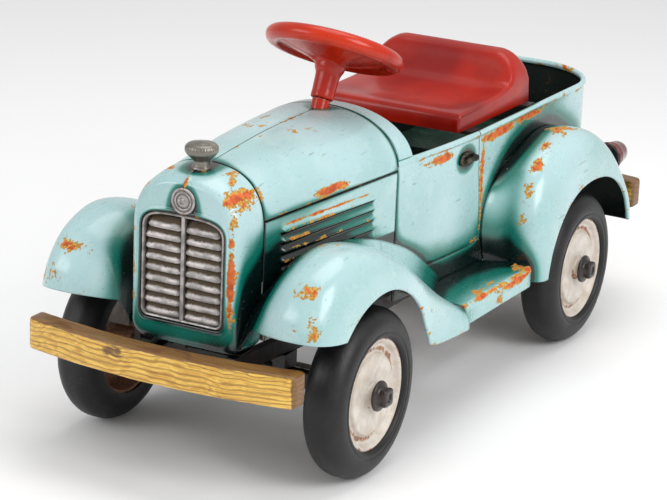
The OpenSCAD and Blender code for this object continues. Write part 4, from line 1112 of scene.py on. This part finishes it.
rim_rows = [[on_shaft((math.cos(a) * (RIM_R + TUBE_R * math.cos(b)),
                       math.sin(a) * (RIM_R + TUBE_R * math.cos(b)), TUBE_R * math.sin(b)))
             for b in circle(20)]
            for a in [2 * math.pi * k / 96 for k in range(97)]]
parts = [rim_rows]
for turn in (90, 210, 330):
    a = math.radians(turn)
    rows = []
    for r, half, high, low in ((8, 9, -2, -22), (20, 11, -3, -20), (34, 12.5, -2, -14),
                               (50, 13.5, 0, -10), (62, 15, 2.5, -7), (72, 18, 4, -4)):
        rows.append([on_shaft((r * math.cos(a) - w * math.sin(a), r * math.sin(a) + w * math.cos(a), z))
                     for w, z in arc((0, (high + low) / 2), half, (high - low) / 2, 0, 337.5, 15)])
    parts.append(rows)
web = [(8, -10), (RIM_R - 4, 1.2), (RIM_R - 3, -1), (RIM_R - 4, -3.6), (8, -20), (8, -10)]
parts.append([[on_shaft((r * math.cos(b), r * math.sin(b), z))
               for b in circle(72)] for r, z in web])
hub_line = [(0.01, 1.5), (10, 1.2), (16, -1), (18.5, -5), (19, -12), (18.6, -24), (17, -28),
            (15.2, -31), (14.6, -40), (14.2, -52), (14.4, -HUB_DROP + 1), (13.6, -HUB_DROP),
            (0.01, -HUB_DROP)]
parts.append([[on_shaft((r * math.cos(b), r * math.sin(b), z))
               for b in circle(48)] for r, z in hub_line])
wheel = piece("steering_wheel", parts, WHEEL_RED, body="steering",
              stands_for=["steering_wheel"], closed=True, capped=True)
melt = wheel.modifiers.new("one_moulding", "REMESH")
melt.mode, melt.voxel_size, melt.use_smooth_shade = "VOXEL", 1.5 * MM, True
soften = wheel.modifiers.new("fillets", "SMOOTH")
soften.factor, soften.iterations = 0.5, 9

# ---- Wheels ----
# Solid rubber tyres stretched over pressed steel discs; the disc has a rolled rim, one stepped
# ring and a hub tube. A push-on cap covers each spindle's end.


def solid_rubber():
    made, at = begin("tyre_rubber")
    cloud, fine = speckle(at, 30, 4), speckle(at, 3, 4)
    tone = over(rise(cloud, 0.35, 0.7), paint(14, 14, 15), paint(26, 26, 27))
    tone = over(rise(fine * cloud, 0.33, 0.42) * 0.35, tone, paint(74, 70, 64))
    return close(made, height=fine, depth=0.2, Base_Color=tone,
                 Roughness=0.46 + (cloud - 0.5) * 0.3 + (fine - 0.5) * 0.15, Specular_IOR_Level=0.42)


def cream_enamel():
    made, at = begin("wheel_enamel")
    crease = stored()[0]
    broad, cloud, fine = speckle(at, 60, 2), speckle(at, 16, 4), speckle(at, 3, 3)
    tone = over(rise(cloud, 0.35, 0.65), paint(196, 184, 170), paint(214, 206, 196))
    rusty = rise(crease + (cloud - 0.5) * 0.9 + (broad - 0.5) * 0.8 + (fine - 0.5) * 0.3, 0.42, 0.64)
    tone = over(rusty * 0.85, tone, over(rise(fine, 0.4, 0.6), paint(164, 96, 46), paint(104, 60, 30)))
    return close(made, height=fine * 0.4 - rusty * 0.5, depth=0.3, Base_Color=tone,
                 Roughness=0.4 + rusty * 0.35 + (fine - 0.5) * 0.1, Coat_Weight=0.3 * (1 - rusty),
                 Coat_Roughness=0.2)


RUBBER, CREAM = solid_rubber(), cream_enamel()
TYRE_R, TYRE_OUT = (wheel_high.z - wheel_low.z) / 2 / MM, wheel_high.x / MM
TYRE_IN = wheel_low.x / MM
RIM = 67
round_r = 22
tread = (arc((TYRE_R - round_r, TYRE_IN + round_r), round_r, round_r, -90, 0, 12)
         + arc((TYRE_R - round_r, TYRE_OUT - round_r), round_r, round_r, 0, 90, 12))
tyre_line = [(RIM - 1, TYRE_IN + 1.4), (RIM + 1.5, TYRE_IN + 0.4), (RIM + 4, TYRE_IN)] + tread + [
    (74.6, TYRE_OUT + 0.1), (73.9, TYRE_OUT - 0.5), (73.0, TYRE_OUT - 0.5), (72.3, TYRE_OUT + 0.1),
    (70.4, TYRE_OUT), (68.4, TYRE_OUT - 0.8), (67, TYRE_OUT - 2.6), (66, TYRE_OUT - 5)]
face_x = TYRE_OUT - 7
disc_line = curve([(6.1, TYRE_OUT - 1), (11, TYRE_OUT - 1), (13.8, TYRE_OUT - 2), (14, face_x + 2),
                   (15.5, face_x - 0.6), (20, face_x - 1.9), (32, face_x - 1.6),
                   (42, face_x - 1.8), (44.6, face_x - 1.2), (46.4, face_x - 0.2),
                   (48, face_x - 1.6), (49.4, face_x - 4.4), (51.5, face_x - 5),
                   (56.5, face_x - 4.8), (59, face_x - 3.2), (61.6, face_x + 0.4),
                   (64, face_x + 2), (66, face_x + 1.4), (67, face_x - 1.5)], 3)
disc_line += [(67, TYRE_IN + 5), (63, TYRE_IN + 5), (62.6, TYRE_IN + 7), (62.6, face_x - 12),
              (55, face_x - 9), (47, face_x - 9), (42, face_x - 6), (14.2, face_x - 6),
              (14, TYRE_IN + 1), (6.1, TYRE_IN + 1)]
cap_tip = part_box("hub_cap_front_left")[1].x / MM
bodies = {("front", "left"): "front_left_wheel", ("front", "right"): "front_right_wheel",
          ("rear", "left"): "rear_axle", ("rear", "right"): "rear_right_wheel"}


def rounded_square(half, corner, count):
    """Radii of a square with rounded corners, seen from its middle."""
    out = []
    for k in range(count):
        a = 2 * math.pi * k / count
        c, s = abs(math.cos(a)), abs(math.sin(a))
        out.append(half / (c ** corner + s ** corner) ** (1 / corner))
    return out


for (end, side), body in bodies.items():
    y0 = 0 if end == "front" else WHEELBASE
    centre, mirrored = (0, y0, AXLE_Z), side == "right"
    name = f"{end}_{side}"
    piece(f"tyre_{name}", [turned(tyre_line, centre, (1, 0, 0), 120)], RUBBER, body=body,
          stands_for=[f"tyre_{name}"], closed=True, mirrored=mirrored, sharp=50)
    made = piece(f"wheel_{name}", [turned(disc_line, centre, (1, 0, 0), 120)], CREAM, body=body,
                 stands_for=[f"wheel_{name}"], closed=True, mirrored=mirrored)

    def rust(x, y, z, y0=y0):
        r = math.hypot(y - y0, z - AXLE_Z)
        return max(0.62 * math.exp(-((r - 53) / 5) ** 2), 0.46 * math.exp(-((r - 65) / 3) ** 2),
                   0.5 * math.exp(-((r - 16) / 3) ** 2), 0.9 * (abs(x) < face_x - 7))

    finish(made, rust, base=0.12)
    rows = []
    for r, along, square in ((0.01, 190, 0), (17.0, 189.6, 0), (18, 190.4, 0), (18, 192.4, 0),
                             (17.2, 193.4, 0), (14.2, 194.2, 0), (12.4, 195.4, 0), (11.8, 197, 0.1),
                             (12.0, 198.4, 0.6), (12.2, 199.4, 1), (12.0, 202.6, 1),
                             (11.2, cap_tip - 0.5, 1), (10, cap_tip, 1), (6, cap_tip, 1),
                             (5, cap_tip - 1.4, 0.2), (0.01, cap_tip - 1.6, 0)):
        corner = rounded_square(1.0, 5, 64)
        rows.append([(along, y0 + r * mix(1, corner[k] * 0.86, square) * math.cos(k * math.pi / 32),
                      AXLE_Z + r * mix(1, corner[k] * 0.86, square) * math.sin(k * math.pi / 32))
                     for k in range(64)])
    piece(f"hub_cap_{name}", [rows], FINISHES["cap_plastic"], body=body,
          stands_for=[f"hub_cap_{name}"], closed=True, mirrored=mirrored, sharp=45)

# ---- Door handles ----
# A cast oval plate on each door with a small turned lever lying along it, held by a through pin.

handle_low, handle_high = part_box("door_handles")
handle_y = ((handle_low.y + handle_high.y) / 2 - AXLE_Y) / MM
handle_z = (handle_low.z + handle_high.z) / 2 / MM
wall_x = body_half(handle_y)
plate = ((0.2, 0), (2.4, 0), (3.4, 0.8), (3.6, 2.4), (2.8, 3.4), (2.6, 8.9))  # (height, inset)
rows = [[(wall_x + x, handle_y + (20 - inset) * math.cos(a), handle_z + (9 - inset) * math.sin(a))
         for a in circle(48)] for x, inset in plate]
lever_rows = []
for u, r in ((-15, 0.4), (-14.4, 2.2), (-12, 3.4), (-6, 3.2), (0, 3.0), (6, 3.4), (11, 4.4),
             (14, 4.2), (16, 2.6), (16.6, 0.4)):
    lever_rows.append([(wall_x + 7 + r * 0.9 * math.cos(a), handle_y + u, handle_z + r * math.sin(a))
                       for a in circle(24)])
post = turned([(3.2, 2), (3.0, 6.5), (0.1, 7)], (wall_x, handle_y, handle_z), (1, 0, 0), 24)
post = [[tuple(p) for p in row] for row in post]
both = []
for flip in (1, -1):
    for grid in (rows, lever_rows, post):
        both.append([[(flip * p[0], p[1], p[2]) for p in row] for row in grid])
piece("door_handles", both, FINISHES["dark_metal"], stands_for=["door_handles"],
      closed=True, capped=True)

# ---- Tail lights ----
# Bullet lamps in solid dark red plastic, ribbed round the body, on a turned base behind each
# rear fender.


def lamp_red():
    made, at = begin("lens_red")
    cloud = speckle(at, 14, 3)
    tone = over(rise(cloud, 0.35, 0.7), paint(112, 10, 16), paint(80, 4, 10))
    return close(made, height=cloud, depth=0.15, Base_Color=tone,
                 Roughness=0.2 + (cloud - 0.5) * 0.2, Coat_Weight=0.7 + (cloud - 0.5) * 0.2,
                 Coat_Roughness=0.06)


lamp_low, lamp_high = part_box("tail_light_lenses")
lamp_x = (lamp_high.x - (lamp_high.z - lamp_low.z) / 2) / MM
lamp_y = (lamp_low.y - AXLE_Y) / MM
lamp_z = (lamp_low.z + lamp_high.z) / 2 / MM
bullet = [(19.5, 0), (20.5, 1), (20.5, 3), (19.8, 4.2)]
for k in range(5):
    r = 19.6 - 0.6 * k
    bullet += [(r, 4.8 + 2.9 * k), (r + 0.35, 5.9 + 2.9 * k), (r - 0.2, 7.2 + 2.9 * k)]
bullet += [(16.2, 22), (15.8, 31), (15, 37), (13, 42.5), (9, 46.3), (4.5, 47.7), (0.01, 48)]
grids = [[[(flip * p.x, p.y, p.z) for p in row]
          for row in turned(bullet, (lamp_x, lamp_y, lamp_z), (0, 1, 0), 72)] for flip in (1, -1)]
piece("tail_light_lenses", grids, lamp_red(), stands_for=["tail_light_lenses"],
      closed=True, capped=True, sharp=50)

# ---- Painted shade ----
# Darker teal and near black are painted into every hollow and low part of the bodywork as shade. How
# hidden each point is from open air, sampled over a hemisphere, says how dark it goes.

painted = [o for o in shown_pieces() if o.data.materials and o.data.materials[0] == BODY]
shading = bpy.context.evaluated_depsgraph_get()
corners, panels = [], []
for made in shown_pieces():
    if body_of(made) == ["chassis"]:
        solid = made.evaluated_get(shading).to_mesh()
        start = len(corners)
        corners += [v.co.copy() for v in solid.vertices]
        panels += [[start + k for k in p.vertices] for p in solid.polygons]
tree = BVHTree.FromPolygons(corners, panels)
rays = 26
golden = math.pi * (3 - math.sqrt(5))
fan = []
for k in range(rays):
    up = math.sqrt(1 - (k + 0.5) / rays)
    flat = math.sqrt(1 - up * up)
    fan.append(Vector((flat * math.cos(golden * k), flat * math.sin(golden * k), up)))
SHADE_REACH, SOFTENING = 120 * MM, 10
for made in painted:
    layer, shades = made.data.attributes["finish"], []
    for vertex in made.data.vertices:
        turn = vertex.normal.to_track_quat("Z", "Y")
        start = vertex.co + vertex.normal * 1.5 * MM
        hidden = 0.0
        for ray in fan:
            far = tree.ray_cast(start, turn @ ray, SHADE_REACH)[3]
            if far is not None:
                hidden += 1 - far / SHADE_REACH
        # Painted shade: how hidden the point is, plus a darkening towards the bottom.
        shades.append(2.5 * hidden / rays + 0.3 * ease((235 - vertex.co.z / MM) / 120))
    for _ in range(SOFTENING):  # the painted shade is blurred: each point takes in its neighbours' shade
        total, count = list(shades), [1] * len(shades)
        for edge in made.data.edges:
            a, b = edge.vertices
            total[a] += shades[b]
            total[b] += shades[a]
            count[a] += 1
            count[b] += 1
        shades = [t / n for t, n in zip(total, count)]
    for vertex, shade in zip(made.data.vertices, shades):
        worn, _, dark, _ = layer.data[vertex.index].color
        layer.data[vertex.index].color = (worn, min(shade, 1.0), dark, 1.0)

# ---- Camera, light and floor ----
# A long lens from the front left, three soft boxes and a bright surround on a pale floor.

camera = bpy.data.objects.new("camera", bpy.data.cameras.new("camera"))
bpy.context.scene.collection.objects.link(camera)
bpy.context.scene.camera = camera
camera.data.lens, camera.data.sensor_width = 141.68, 36
camera.data.clip_end = 20
turn, tip, roll = (math.radians(a) for a in (28.244, 17.55, 2.383))
behind = Vector((math.sin(turn) * math.cos(tip), -math.cos(turn) * math.cos(tip), math.sin(tip)))
right = Vector((math.cos(turn), math.sin(turn), 0))
above = behind.cross(right)
side_way = right * math.cos(roll) + above * math.sin(roll)
up_way = above * math.cos(roll) - right * math.sin(roll)
camera.matrix_world = Matrix.Translation(place((1456.5, -2479.2, 1150.9))) @ Matrix(
    (side_way, up_way, behind)).transposed().to_4x4()

floor_mesh = bpy.data.meshes.new("floor")
floor_mesh.from_pydata([(-9, -9, 0), (9, -9, 0), (9, 9, 0), (-9, 9, 0)], [], [(0, 1, 2, 3)])
floor = bpy.data.objects.new("floor", floor_mesh)
bpy.context.scene.collection.objects.link(floor)
made, at = begin("floor")
floor_mesh.materials.append(close(made, Base_Color=paint(250, 250, 250), Roughness=0.9))

world = bpy.data.worlds.new("studio")
bpy.context.scene.world = world
world.use_nodes = True
world.node_tree.nodes["Background"].inputs["Color"].default_value = (1, 1, 1, 1)
world.node_tree.nodes["Background"].inputs["Strength"].default_value = 0.62


def soft_box(name, at, size, power, aim=(0, 0, 0.22)):
    light = bpy.data.objects.new(name, bpy.data.lights.new(name, "AREA"))
    light.data.shape, light.data.energy = "RECTANGLE", power
    light.data.size, light.data.size_y = size
    light.location = at
    light.rotation_euler = (Vector(aim) - Vector(at)).to_track_quat("-Z", "Y").to_euler()
    bpy.context.scene.collection.objects.link(light)


soft_box("key", (2.2, -0.6, 1.7), (1.4, 1.4), 34)
soft_box("fill", (-1.6, -2.4, 1.4), (1.6, 1.2), 19)
soft_box("top", (0.1, 0.3, 2.6), (1.8, 1.8), 23)
bpy.context.scene.view_settings.view_transform = "Standard"
